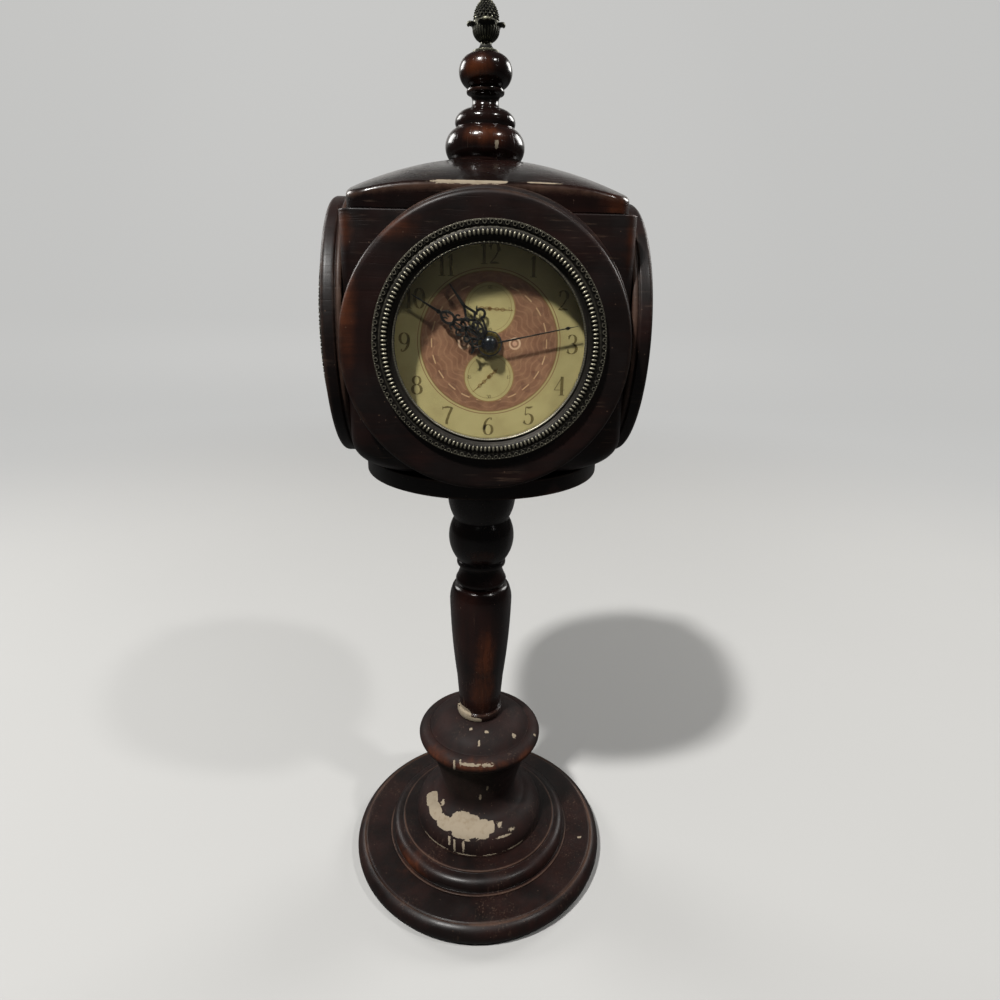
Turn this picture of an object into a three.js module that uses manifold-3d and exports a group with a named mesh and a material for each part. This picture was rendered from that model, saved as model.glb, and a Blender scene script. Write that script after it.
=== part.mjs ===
// Four-faced mantel clock on a turned pedestal.
//
// Millimetres, +Z up. The origin is the centre of the underside of the felt pad, and the dial that the
// clock shows first looks along -Y. A square head with four round dials turns on a tie rod that runs up
// through the pedestal. Its roof lifts off, so that the cells and the set knobs can be reached.

import * as THREE from 'three';
import { mergeVertices } from 'three/addons/utils/BufferGeometryUtils.js';
import Module from 'manifold-3d';

const wasm = await Module();
wasm.setup();

// Fits
const SEAT_GAP = 0.3; // glue line or running gap between two pieces that meet
const BORE_FIT = 0.6; // radial room round the tie rod
const STUD_FIT = 0.3; // radial room round the finial stud
const INSERT_FIT = 0.3; // radial room of the dial, the glass and the bezel in their seats
const POCKET_FIT = 1.0; // room on each side of a movement in its wall

// Facets of round pieces
const WIDE_SIDES = 28;
const DIAL_SIDES = 24;
const SLIM_SIDES = 20;
const SMALL_SIDES = 12;
const HEX_SIDES = 6;
const EDGE_FACETS = 4; // on a quarter of the case's rounded edges
const CORNER_FACETS = 2; // on a quarter of its upright corners
const SCROLL_FACETS = 4; // on a half of a hand's scroll
const ARC_FACET = Math.PI / 5; // turn of an outline's arc at each facet
const LEAST_FACETS = 2;
const WELD = 1e-4; // points nearer than this are one point
const CUT = 1; // a cutter's run past the face that it cuts
const QUARTER_BOW = 1 - Math.SQRT1_2; // a quarter round's bow, per unit of its radius

// Felt to the tip of the acorn. The column's shaft takes up what the other pieces leave.
const OVERALL_HEIGHT = 549.2;

// Tie rod and nuts
const ROD_RADIUS = 4;
const NUT_RIM = 3.5; // from the rod to the nut's corners
const NUT_HEIGHT = 6.5;
const SPANNER_ROOM = 3; // round a nut in its pocket
const ROD_PAST_BASE_NUT = 0.8;
const ROD_PAST_LOCK_NUT = 2;
const BASE_POCKET_SPARE = 0.9;
const LOCK_POCKET_SPARE = 5.2;

// Pedestal base
const FELT_INSET = 4.5;
const FELT_THICKNESS = 1.5;

const PLINTH = {
  footRadius: 88.5,
  beadRise: 14.3,
  beadTopRadius: 86.3,
  beadBow: 4.6,
  grooveDepth: 0.9,
  grooveWidth: 1.1,
};

const STEP = {
  radius: 67.2,
  quirk: 0.9,
  beadFootRadius: 64.6,
  beadTopRadius: 59.5,
  beadRise: 9.4,
  beadBow: 3.2,
  lipRadius: 57.2,
  lipRise: 1.4,
};

const BELL = {
  footRadius: 46.3,
  footRise: 3.5,
  shoulderRise: 15.5,
  shoulderRadius: 34,
  shoulderBow: 4.4,
  coveRise: 11,
  neckRadius: 27,
  coveBow: -2,
  cupRise: 38,
  cupRadius: 38.6,
  cupBow: -1.2,
  flangeFootRadius: 40.4,
  flangeFootRise: 0.6,
  flangeLowRise: 6,
  flangeRadius: 43.7,
  flangeLowBow: 0.9,
  flangeHighRise: 5,
  flangeTopRadius: 36,
  flangeHighBow: 1.7,
  grooveDepth: 0.6,
  grooveWidth: 0.8,
  crownRise: 11,
  crownBow: 2.4,
  crownLedge: 1,
};

// Turned column, from its foot to its capital
const COLUMN = {
  footRadius: 15.5,
  footRise: 5.5,
  footBow: 0.6,
  waistRadius: 14.2,
  lowerRise: 25,
  lowerRadius: 16.2,
  bellyRadius: 20.8,
  upperBow: 0.8,
  shoulderRise: 9.4,
  shoulderRadius: 19.3,
  shoulderBow: 0.5,
  turnInRise: 3.6,
  turnInRadius: 15.2,
  turnInBow: 1,
  ringRise: 4.2,
  ringRadius: 16.5,
  ringBow: 0.8,
  coneRise: 9.6,
  coneRadius: 13.4,
  coneBow: -0.5,
  ledgeRadius: 15.7,
  ledgeRise: 3.6,
  ledgeBow: 0.4,
  ballFootRadius: 15.2,
  ballRise: 29.6,
  ballTopRadius: 17.6,
  ballBow: 4.7,
  bulgeRise: 27,
  bulgeTopRadius: 19,
  bulgeBow: 3.2,
  capitalRadius: 24,
  capitalRise: 6.6,
  capitalBow: 0.8,
};

// Turntable under the head
const THRUST_WASHER_RADIUS = 21;
const THRUST_WASHER_THICKNESS = 1.2;
const TURNTABLE_THICKNESS = 9.8;
const TURNTABLE_REACH = 0.4; // beyond the case's faces
const TURNTABLE_EDGE = 0.6;

// Case
const CASE_HALF = 70;
const CASE_CORNER = 5;
const CASE_LOWER_ROUND = 22; // radius of the lower edges
const CASE_FLOOR = 33; // thickness of the solid floor
const CASE_UPPER_ROUND = 3;
const WALL = 10;
const RAIL_BELOW = 9; // wall left under a movement's pocket
const RAIL_ABOVE = 30;

// Roof, a shallow dome whose level lines are squarish, cut square
const ROOF_INSET = 3;
const ROOF_CORNER = 8;
const ROOF_RISE = 27.6;
const ROOF_CORNER_EDGE = 7.2;
const ROOF_BOW = 2.1;
const ROOF_SQUARENESS = 4; // power of its level lines: 2 would be circles
const ROOF_SEAT_RIM = 2.5; // flat left round the finial's foot
const ROOF_PLUG_DEPTH = 6;
const ROOF_PLUG_FIT = 0.8;

// Finials
const STUD_RADIUS = 2;
const STUD_IN_ROOF = 18;
const STUD_IN_ACORN = 1.8;

const FINIAL = {
  footRadius: 19,
  footRise: 1.6,
  bulgeRise: 15.6,
  bulgeTopRadius: 15.3,
  bulgeBow: 4.1,
  beadRise: 6.2,
  beadTopRadius: 14.6,
  beadBow: 1.2,
  slopeRise: 2.8,
  slopeRadius: 8.6,
  slopeBow: 0.7,
  neckRise: 6.8,
  neckTopRadius: 8.6,
  neckBow: -1.7,
  ringRise: 2.6,
  ringRadius: 9.6,
  ringBow: 0.5,
  ballFootRadius: 9,
  ballRise: 15.8,
  ballTopRadius: 7.4,
  ballBow: 5.8,
};

const ACORN = {
  flangeRadius: 6.9,
  flangeRise: 0.9,
  stemRise: 4,
  stemRadius: 2.8,
  stemBow: -1.1,
  cupRise: 7.4,
  cupRadius: 6.6,
  cupBow: 1.3,
  rimRise: 1.4,
  nutRise: 11,
  nutRadius: 6.4,
  nutBow: 1.9,
  petals: 4,
  petalReach: 10.1,
  petalRise: 1.2,
  petalDrop: 2.6,
  petalWidth: 4.4,
};

// Dial, bezel and glass on each face, measured outward from the case's face
const OPENING_RADIUS = 45;
const GLASS_LAP = 1.2;
const GLASS_THICKNESS = 2;
const SKIRT_WALL = 1.4;
const SKIRT_DEPTH = 5;
const BEZEL_BAND = 6.6; // bezel beyond the wooden ring's bore
const BEZEL_RIM = 2.4;
const BEZEL_CROWN = 3.9;
const RING_MARGIN = 0.2; // wooden ring inside the case's width
const RING_NOSE = 2.8;
const RING_BEAD = 3.2;
const RING_BEAD_BOW = 0.8;
const DIAL_LAP = 1.5;
const DIAL_THICKNESS = 1;

// Quartz movement
const MOVEMENT_CORNER = 3;
const BUSHING_WALL = 1.2;
const DIAL_NUT_RIM = 2.2;
const DIAL_NUT_HEIGHT = 1.2;
const PIPE_DEPTH = 5; // of the hands' arbors, inward from the case's face
const CELL_RADIUS = 7.1;
const CELL_LENGTH = 49;
const CELL_NUB_RADIUS = 2.6;
const CELL_NUB = 1.3;
const BAY_FIT = 0.5;
const BAY_RIM = 1.5; // movement left under the cell bay
const BAY_END = 2.35; // movement left past each end of the bay
const BAY_FLOOR = 0.8; // movement left between the bay and the dial
const KNOB_RADIUS = 6;
const KNOB_HEIGHT = 5;
const KNOB_ARBOR_RADIUS = 1.5;
const KNOB_ARBOR_DEPTH = 4;
const KNOB_RISE = 13; // above the hands' axis

// Hands
const HAND_THICKNESS = 0.5;
const COLLET_HEIGHT = 0.9;
const HOUR_PIPE_WALL = 0.7;
const HOUR_COLLET_RIM = 1.1;
const MINUTE_ARBOR_WALL = 0.7;
const MINUTE_COLLET_RIM = 1.6;
const SECOND_PIN_RADIUS = 0.5;
const SECOND_PIN_DEPTH = 1.6;
const CAP_RADIUS = 4;
const CAP_RISE = 2.7;
const GLASS_CLEARANCE = 1.1; // over the cap
const HOUR_LENGTH = 33;
const HAND_TIP_MARGIN = 2; // minute and second hands' tips to the bezel's opening
const SECOND_TAIL = 11;
const WIRE = 0.75; // width of the hands' scrolled strips
const HOUR_SCROLLS = [2.3, 3.1, 2.6];
const MINUTE_SCROLLS = [2, 2.5, 2.4, 2];
const TIME = { hour: 10, minute: 50, second: 13 };

// Finishes
function finish(color, roughness, metalness = 0) {
  return new THREE.MeshStandardMaterial({ color, roughness, metalness });
}

const LACQUER = finish(0x2a130d, 0.3);
const BRONZE = finish(0x4a4436, 0.45, 0.9);
const STEEL = finish(0x9a9c9e, 0.4, 0.9);
const CLEAR_GLASS = finish(0xe8f0ee, 0.05);
const DIAL_PAPER = finish(0xd8cf9c, 0.7);
const BLACK_METAL = finish(0x16130f, 0.5, 0.6);
const BLACK_PLASTIC = finish(0x1b1b1d, 0.55);
const NYLON = finish(0xdedbd0, 0.5);
const FELT = finish(0x1f3a2a, 0.95);
const CELL_JACKET = finish(0xb9792f, 0.35, 0.5);

// Outline of a turned piece: radius across, height up, walked from the foot outward and up
class Profile {
  constructor(radius, height = 0) {
    this.points = [new THREE.Vector2(radius, height)];
  }

  get last() {
    return this.points[this.points.length - 1];
  }

  to(radius, height) {
    this.points.push(new THREE.Vector2(radius, height));
    return this;
  }

  across(radius) {
    return this.to(radius, this.last.y);
  }

  // Rises to a new radius on a circular arc that stands off its chord by bow, outward if positive.
  up(rise, radius = this.last.x, bow = 0) {
    const start = this.last.clone();
    const chord = new THREE.Vector2(radius - start.x, rise);
    if (bow === 0) return this.to(radius, start.y + rise);
    const half = chord.length() / 2;
    const along = chord.clone().normalize();
    const outward = new THREE.Vector2(along.y, -along.x);
    const arcRadius = (half * half + bow * bow) / (2 * bow);
    const spread = Math.asin(half / arcRadius);
    const centre = start.clone().addScaledVector(chord, 0.5).addScaledVector(outward, bow - arcRadius);
    const facets = Math.max(LEAST_FACETS, Math.ceil(Math.abs((2 * spread) / ARC_FACET) - 0.01));
    for (let k = 1; k < facets; k += 1) {
      const angle = spread * ((2 * k) / facets - 1);
      const point = centre.clone().addScaledVector(outward, arcRadius * Math.cos(angle));
      this.points.push(point.addScaledVector(along, arcRadius * Math.sin(angle)));
    }
    return this.to(radius, start.y + rise);
  }

  // Runs in to the bore and down it, back to where the outline began.
  closeAlong(bore) {
    const foot = this.points[0];
    this.across(bore);
    if (foot.x !== bore) this.to(bore, foot.y);
    return this.to(foot.x, foot.y);
  }
}

// Closed geometry as a solid that can be joined and cut
function solid(geometry) {
  geometry.deleteAttribute('normal');
  geometry.deleteAttribute('uv');
  const merged = mergeVertices(geometry, WELD);
  const index = merged.index.array;
  const triangles = [];
  for (let k = 0; k < index.length; k += 3) {
    const [a, b, c] = [index[k], index[k + 1], index[k + 2]];
    if (a !== b && b !== c && c !== a) triangles.push(a, b, c);
  }
  return new wasm.Manifold(new wasm.Mesh({
    numProp: 3,
    vertProperties: new Float32Array(merged.attributes.position.array),
    triVerts: new Uint32Array(triangles),
  }));
}

function node(name, body, material) {
  const { vertProperties, triVerts } = body.getMesh();
  const geometry = new THREE.BufferGeometry();
  geometry.setAttribute('position', new THREE.BufferAttribute(vertProperties, 3));
  geometry.setIndex(new THREE.BufferAttribute(triVerts, 1));
  geometry.computeVertexNormals();
  const mesh = new THREE.Mesh(geometry, material);
  mesh.name = name;
  return mesh;
}

// Turned about the vertical, standing on its own foot at height zero
function turned(profile, sides) {
  return solid(new THREE.LatheGeometry(profile.points, sides).rotateX(Math.PI / 2));
}

// Turned about a face's axis: the profile's height runs outward along -Y from the case's face
function faceTurned(profile, sides) {
  const geometry = new THREE.LatheGeometry(profile.points, sides).rotateX(Math.PI);
  return solid(geometry.translate(0, -CASE_HALF, 0));
}

function disc(radius, low, high, sides, turn = turned) {
  return turn(new Profile(0, low).across(radius).to(radius, high).across(0).to(0, low), sides);
}

function washer(bore, radius, low, high, sides, turn = turned) {
  return turn(new Profile(bore, low).across(radius).to(radius, high).closeAlong(bore), sides);
}

function box(low, high) {
  const size = high.map((value, k) => value - low[k]);
  const centre = high.map((value, k) => (value + low[k]) / 2);
  return solid(new THREE.BoxGeometry(...size).translate(...centre));
}

function extruded(shape, depth, curveSegments) {
  return solid(new THREE.ExtrudeGeometry(shape, { depth, bevelEnabled: false, curveSegments }));
}

// Flat outline in X and Z, cut from a sheet that spans two distances outward from the case's face
function faceSheet(shape, low, high, curveSegments = SCROLL_FACETS) {
  return extruded(shape, high - low, curveSegments)
    .rotate([90, 0, 0])
    .translate([0, -CASE_HALF - low, 0]);
}

// Upright outline in X and height, carried along Y over the whole case
function acrossCase(shape) {
  return extruded(shape, 4 * CASE_HALF, EDGE_FACETS)
    .rotate([90, 0, 0])
    .translate([0, 2 * CASE_HALF, 0]);
}

function roundedSquare(half, corner) {
  const shape = new THREE.Shape();
  const inner = half - corner;
  shape.moveTo(-inner, -half);
  shape.lineTo(inner, -half);
  shape.absarc(inner, -inner, corner, -Math.PI / 2, 0);
  shape.lineTo(half, inner);
  shape.absarc(inner, inner, corner, 0, Math.PI / 2);
  shape.lineTo(-inner, half);
  shape.absarc(-inner, inner, corner, Math.PI / 2, Math.PI);
  shape.lineTo(-half, -inner);
  shape.absarc(-inner, -inner, corner, Math.PI, 1.5 * Math.PI);
  return shape;
}

function squarePrism(half, corner, low, high) {
  return extruded(roundedSquare(half, corner), high - low, CORNER_FACETS).translate([0, 0, low]);
}

const boreRadius = ROD_RADIUS + BORE_FIT;
const nutRadius = ROD_RADIUS + NUT_RIM;
const nutPocketRadius = nutRadius + SPANNER_ROOM;
const basePocketDepth = SEAT_GAP + NUT_HEIGHT + ROD_PAST_BASE_NUT + BASE_POCKET_SPARE;
const lockPocketDepth = SEAT_GAP + NUT_HEIGHT + ROD_PAST_LOCK_NUT + LOCK_POCKET_SPARE;
const studBore = STUD_RADIUS + STUD_FIT;
const bayHalf = CELL_RADIUS + BAY_FIT;
const bayHalfLength = (CELL_LENGTH + CELL_NUB) / 2 + BAY_FIT;
const movementHalf = bayHalfLength + BAY_END;
const movementDepth = 2 * bayHalf + BAY_FLOOR;
const pocketHalf = movementHalf + POCKET_FIT;
const floorTop = CASE_FLOOR;
const wallFoot = floorTop + SEAT_GAP;
const faceRise = wallFoot + RAIL_BELOW + pocketHalf;
const caseHeight = faceRise + pocketHalf + RAIL_ABOVE;
const innerHalf = CASE_HALF - WALL;
const clock = new THREE.Group();

function place(parent, mesh, height) {
  mesh.position.z = height;
  parent.add(mesh);
}

// Pedestal

function plinthProfile() {
  const p = PLINTH;
  const outline = new Profile(nutPocketRadius, 0).across(p.footRadius);
  outline.up(p.beadRise, p.beadTopRadius, p.beadBow);
  const rim = outline.last.clone();
  outline.to(rim.x - p.grooveWidth / 2, rim.y - p.grooveDepth);
  outline.to(rim.x - p.grooveWidth, rim.y);
  outline.across(boreRadius).to(boreRadius, basePocketDepth).across(nutPocketRadius);
  return outline.to(nutPocketRadius, 0);
}

function stepProfile() {
  const p = STEP;
  const outline = new Profile(boreRadius).across(p.radius).up(p.quirk).across(p.beadFootRadius);
  outline.up(p.beadRise, p.beadTopRadius, p.beadBow).across(p.lipRadius).up(p.lipRise);
  return outline.closeAlong(boreRadius);
}

function bellProfile() {
  const p = BELL;
  const outline = new Profile(boreRadius).across(p.footRadius).up(p.footRise);
  outline.up(p.shoulderRise, p.shoulderRadius, p.shoulderBow);
  outline.up(p.coveRise, p.neckRadius, p.coveBow);
  outline.up(p.cupRise, p.cupRadius, p.cupBow);
  outline.up(p.flangeFootRise, p.flangeFootRadius);
  outline.up(p.flangeLowRise, p.flangeRadius, p.flangeLowBow);
  outline.up(p.flangeHighRise, p.flangeTopRadius, p.flangeHighBow);
  const rim = outline.last.clone();
  outline.to(rim.x - p.grooveWidth / 2, rim.y - p.grooveDepth);
  outline.to(rim.x - p.grooveWidth, rim.y);
  outline.up(p.crownRise, COLUMN.footRadius + p.crownLedge, p.crownBow);
  return outline.closeAlong(boreRadius);
}

function columnProfile(shaftRise) {
  const p = COLUMN;
  const outline = new Profile(boreRadius).across(p.footRadius).up(p.footRise, p.footRadius, p.footBow);
  outline.across(p.waistRadius).up(p.lowerRise, p.lowerRadius);
  outline.up(shaftRise, p.bellyRadius, p.upperBow);
  outline.up(p.shoulderRise, p.shoulderRadius, p.shoulderBow);
  outline.up(p.turnInRise, p.turnInRadius, p.turnInBow);
  outline.up(p.ringRise, p.ringRadius, p.ringBow);
  outline.up(p.coneRise, p.coneRadius, p.coneBow);
  outline.across(p.ledgeRadius).up(p.ledgeRise, p.ledgeRadius, p.ledgeBow);
  outline.across(p.ballFootRadius).up(p.ballRise, p.ballTopRadius, p.ballBow);
  outline.up(p.bulgeRise, p.bulgeTopRadius, p.bulgeBow);
  outline.across(p.capitalRadius).up(p.capitalRise, p.capitalRadius, p.capitalBow);
  return outline.closeAlong(boreRadius);
}

const heightOf = (profile) => Math.max(...profile.points.map((point) => point.y));

// Levels from the felt up to the column's foot
const plinthFoot = FELT_THICKNESS + SEAT_GAP;
const stepFoot = plinthFoot + heightOf(plinthProfile()) + SEAT_GAP;
const bellFoot = stepFoot + heightOf(stepProfile()) + SEAT_GAP;
const columnFoot = bellFoot + heightOf(bellProfile()) + SEAT_GAP;

// Levels from the acorn's tip down to the column's capital
const acornFoot = OVERALL_HEIGHT - heightOf(acornProfile());
const finialFoot = acornFoot - SEAT_GAP - heightOf(finialProfile());
const roofFoot = finialFoot - SEAT_GAP - ROOF_RISE;
const caseFoot = roofFoot - SEAT_GAP - caseHeight;
const turntableFoot = caseFoot - SEAT_GAP - TURNTABLE_THICKNESS;
const washerFoot = turntableFoot - SEAT_GAP - THRUST_WASHER_THICKNESS;
const shaftRise = washerFoot - SEAT_GAP - columnFoot - heightOf(columnProfile(0));
const column = columnProfile(shaftRise);

const feltPad = disc(PLINTH.footRadius - FELT_INSET, 0, FELT_THICKNESS, WIDE_SIDES);
place(clock, node('felt_pad', feltPad, FELT), 0);
place(clock, node('base_plinth', turned(plinthProfile(), WIDE_SIDES), LACQUER), plinthFoot);
place(clock, node('base_step', turned(stepProfile(), WIDE_SIDES), LACQUER), stepFoot);
place(clock, node('pedestal_bell', turned(bellProfile(), WIDE_SIDES), LACQUER), bellFoot);
place(clock, node('column', turned(column, SLIM_SIDES), LACQUER), columnFoot);
const thrustWasher = washer(boreRadius, THRUST_WASHER_RADIUS, 0, THRUST_WASHER_THICKNESS, SLIM_SIDES);
place(clock, node('thrust_washer', thrustWasher, NYLON), washerFoot);

// Tie rod from the plinth's pocket to the pocket in the case's floor

const baseNutFoot = plinthFoot + basePocketDepth - SEAT_GAP - NUT_HEIGHT;
const lockNutFoot = caseFoot + floorTop - lockPocketDepth + SEAT_GAP;
const rodFoot = baseNutFoot - ROD_PAST_BASE_NUT;
const rodTop = lockNutFoot + NUT_HEIGHT + ROD_PAST_LOCK_NUT;

function hexNut() {
  const thread = disc(ROD_RADIUS + SEAT_GAP, -CUT, NUT_HEIGHT + CUT, SMALL_SIDES);
  return disc(nutRadius, 0, NUT_HEIGHT, HEX_SIDES).subtract(thread);
}

place(clock, node('tie_rod', disc(ROD_RADIUS, 0, rodTop - rodFoot, SMALL_SIDES), STEEL), rodFoot);
place(clock, node('base_nut', hexNut(), STEEL), baseNutFoot);
place(clock, node('lock_nut', hexNut(), STEEL), lockNutFoot);

// Head: turntable and case

function turntable() {
  const radius = CASE_HALF + TURNTABLE_REACH;
  const outline = new Profile(boreRadius).across(radius - TURNTABLE_EDGE);
  outline.up(TURNTABLE_EDGE, radius, TURNTABLE_EDGE * QUARTER_BOW);
  outline.up(TURNTABLE_THICKNESS - TURNTABLE_EDGE);
  return turned(outline.closeAlong(boreRadius), WIDE_SIDES);
}
place(clock, node('turntable_plate', turntable(), LACQUER), turntableFoot);

// Front outline of the case, with its lower corners rounded and its upper corners eased
function caseFront() {
  const shape = new THREE.Shape();
  const lower = CASE_HALF - CASE_LOWER_ROUND;
  const upper = CASE_HALF - CASE_UPPER_ROUND;
  shape.moveTo(-lower, 0);
  shape.lineTo(lower, 0);
  shape.absarc(lower, CASE_LOWER_ROUND, CASE_LOWER_ROUND, -Math.PI / 2, 0);
  shape.lineTo(CASE_HALF, caseHeight - CASE_UPPER_ROUND);
  shape.absarc(upper, caseHeight - CASE_UPPER_ROUND, CASE_UPPER_ROUND, 0, Math.PI / 2);
  shape.lineTo(-upper, caseHeight);
  shape.absarc(-upper, caseHeight - CASE_UPPER_ROUND, CASE_UPPER_ROUND, Math.PI / 2, Math.PI);
  shape.lineTo(-CASE_HALF, CASE_LOWER_ROUND);
  shape.absarc(-lower, CASE_LOWER_ROUND, CASE_LOWER_ROUND, Math.PI, 1.5 * Math.PI);
  return shape;
}

const caseFrontPrism = acrossCase(caseFront());
const caseBody = squarePrism(CASE_HALF, CASE_CORNER, 0, caseHeight)
  .intersect(caseFrontPrism)
  .intersect(caseFrontPrism.rotate([0, 0, 90]));

function caseFloor() {
  const reach = 2 * CASE_HALF;
  const above = box([-reach, -reach, floorTop], [reach, reach, 2 * caseHeight]);
  const rodHole = disc(boreRadius, -CUT, floorTop + CUT, SMALL_SIDES);
  const nutPocket = disc(nutPocketRadius, floorTop - lockPocketDepth, floorTop + CUT, SMALL_SIDES);
  return caseBody.subtract(above).subtract(rodHole).subtract(nutPocket);
}

// Wall on the -Y side, with its square pocket for a movement
function caseWall(halfWidth) {
  const slab = box([-halfWidth, -2 * CASE_HALF, wallFoot], [halfWidth, -innerHalf, 2 * caseHeight]);
  const pocket = box(
    [-pocketHalf, -2 * CASE_HALF, faceRise - pocketHalf],
    [pocketHalf, 0, faceRise + pocketHalf],
  );
  return caseBody.intersect(slab).subtract(pocket);
}

place(clock, node('case_floor', caseFloor(), LACQUER), caseFoot);

// Roof and finials

const roofHalf = CASE_HALF - ROOF_INSET;
const roofCorner = roofHalf - ROOF_CORNER * (1 - Math.SQRT1_2);

function squarishReach(x, y) {
  return (Math.abs(x) ** ROOF_SQUARENESS + Math.abs(y) ** ROOF_SQUARENESS) ** (1 / ROOF_SQUARENESS);
}

// Turns each level circle of a solid into a squarish line of the same half-width
function madeSquarish(solid) {
  return solid.warp((point) => {
    const reach = squarishReach(point[0], point[1]);
    const share = reach > 0 ? Math.hypot(point[0], point[1]) / reach : 1;
    point[0] *= share;
    point[1] *= share;
  });
}

function roof() {
  const seat = FINIAL.footRadius + ROOF_SEAT_RIM;
  const reach = squarishReach(roofCorner, roofCorner);
  const outline = new Profile(0).across(reach / Math.cos(Math.PI / WIDE_SIDES));
  outline.up(ROOF_CORNER_EDGE).up(ROOF_RISE - ROOF_CORNER_EDGE, seat, ROOF_BOW).across(0).to(0, 0);
  const plugHalf = innerHalf - ROOF_PLUG_FIT;
  const plug = box([-plugHalf, -plugHalf, -ROOF_PLUG_DEPTH], [plugHalf, plugHalf, ROOF_CORNER_EDGE / 2]);
  const hole = disc(studBore, ROOF_RISE - STUD_IN_ROOF - SEAT_GAP, ROOF_RISE + CUT, SMALL_SIDES);
  return madeSquarish(turned(outline, WIDE_SIDES))
    .intersect(squarePrism(roofHalf, ROOF_CORNER, 0, 2 * ROOF_RISE))
    .add(plug)
    .subtract(hole);
}

function finialProfile() {
  const p = FINIAL;
  const outline = new Profile(studBore).across(p.footRadius).up(p.footRise);
  outline.up(p.bulgeRise, p.bulgeTopRadius, p.bulgeBow);
  outline.up(p.beadRise, p.beadTopRadius, p.beadBow);
  outline.up(p.slopeRise, p.slopeRadius, p.slopeBow);
  outline.up(p.neckRise, p.neckTopRadius, p.neckBow);
  outline.across(p.ringRadius).up(p.ringRise, p.ringRadius, p.ringBow);
  outline.across(p.ballFootRadius).up(p.ballRise, p.ballTopRadius, p.ballBow);
  return outline.closeAlong(studBore);
}

function acornProfile() {
  const p = ACORN;
  const outline = new Profile(studBore).across(p.flangeRadius).up(p.flangeRise);
  outline.up(p.stemRise, p.stemRadius, p.stemBow);
  outline.up(p.cupRise, p.cupRadius, p.cupBow).up(p.rimRise);
  outline.across(p.nutRadius).up(p.nutRise, 0, p.nutBow);
  return outline.to(0, STUD_IN_ACORN + SEAT_GAP).across(studBore).to(studBore, 0);
}

// Acorn in a cup whose petals curl outward
function acorn() {
  const p = ACORN;
  const rim = p.flangeRise + p.stemRise + p.cupRise + p.rimRise;
  let body = turned(acornProfile(), SMALL_SIDES);
  const petal = new THREE.Shape();
  petal.moveTo(p.nutRadius / 2, rim - p.petalDrop);
  petal.lineTo(p.petalReach, rim);
  petal.lineTo(p.petalReach, rim + p.petalRise);
  petal.lineTo(p.nutRadius / 2, rim);
  const lug = extruded(petal, p.petalWidth, CORNER_FACETS)
    .rotate([90, 0, 0])
    .translate([0, p.petalWidth / 2, 0]);
  for (let k = 0; k < p.petals; k += 1) body = body.add(lug.rotate([0, 0, (360 * k) / p.petals]));
  return body;
}

const studFoot = roofFoot + ROOF_RISE - STUD_IN_ROOF;
const studLength = acornFoot + STUD_IN_ACORN - studFoot;

place(clock, node('roof', roof(), LACQUER), roofFoot);
place(clock, node('wood_finial', turned(finialProfile(), SLIM_SIDES), LACQUER), finialFoot);
place(clock, node('acorn_finial', acorn(), BRONZE), acornFoot);
place(clock, node('finial_stud', disc(STUD_RADIUS, 0, studLength, SMALL_SIDES), STEEL), studFoot);

// One face: distances run outward from the case's face

const glassRadius = OPENING_RADIUS + GLASS_LAP;
const skirtBore = glassRadius + INSERT_FIT;
const skirtRadius = skirtBore + SKIRT_WALL;
const ringBore = skirtRadius + INSERT_FIT;
const ringRadius = CASE_HALF - RING_MARGIN;
const dialRadius = ringBore + DIAL_LAP;
const dialFace = SEAT_GAP + DIAL_THICKNESS;

const dialNutTop = dialFace + SEAT_GAP + DIAL_NUT_HEIGHT;
const hourLevel = dialNutTop + SEAT_GAP;
const minuteLevel = hourLevel + COLLET_HEIGHT + SEAT_GAP;
const secondLevel = minuteLevel + COLLET_HEIGHT + SEAT_GAP;
const glassBack = secondLevel + CAP_RISE + GLASS_CLEARANCE;
const glassFront = glassBack + GLASS_THICKNESS;
const ringFace = glassFront - SEAT_GAP;
const bezelFront = glassFront + BEZEL_CROWN;

function woodRing() {
  const seat = dialRadius + INSERT_FIT;
  const seatDepth = dialFace + SEAT_GAP;
  const outline = new Profile(seat, SEAT_GAP).across(ringRadius - RING_BEAD_BOW);
  outline.up(RING_BEAD, ringRadius - RING_BEAD_BOW, RING_BEAD_BOW);
  outline.to(ringRadius, ringFace - RING_NOSE);
  outline.up(RING_NOSE, ringRadius - RING_NOSE, RING_NOSE * QUARTER_BOW);
  outline.across(ringBore).to(ringBore, seatDepth).across(seat).to(seat, SEAT_GAP);
  return faceTurned(outline, DIAL_SIDES);
}

// Pressed bezel: a crowned band outside, a lip over the glass and a skirt in the ring's bore
function bezel() {
  const band = ringBore + BEZEL_BAND;
  const skirtFoot = glassFront - SKIRT_DEPTH;
  const outline = new Profile(skirtBore, skirtFoot).across(skirtRadius);
  outline.to(skirtRadius, glassFront).across(band).up(BEZEL_RIM);
  outline.to((band + skirtRadius) / 2, bezelFront);
  outline.to(OPENING_RADIUS, glassFront + BEZEL_RIM).to(OPENING_RADIUS, glassFront + SEAT_GAP);
  outline.across(skirtBore).to(skirtBore, skirtFoot);
  return faceTurned(outline, DIAL_SIDES);
}

const secondSocket = SECOND_PIN_RADIUS + SEAT_GAP;
const minuteArbor = secondSocket + MINUTE_ARBOR_WALL;
const hourBore = minuteArbor + SEAT_GAP;
const hourPipe = hourBore + HOUR_PIPE_WALL;
const bushingBore = hourPipe + SEAT_GAP;
const bushingRadius = bushingBore + BUSHING_WALL;

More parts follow.
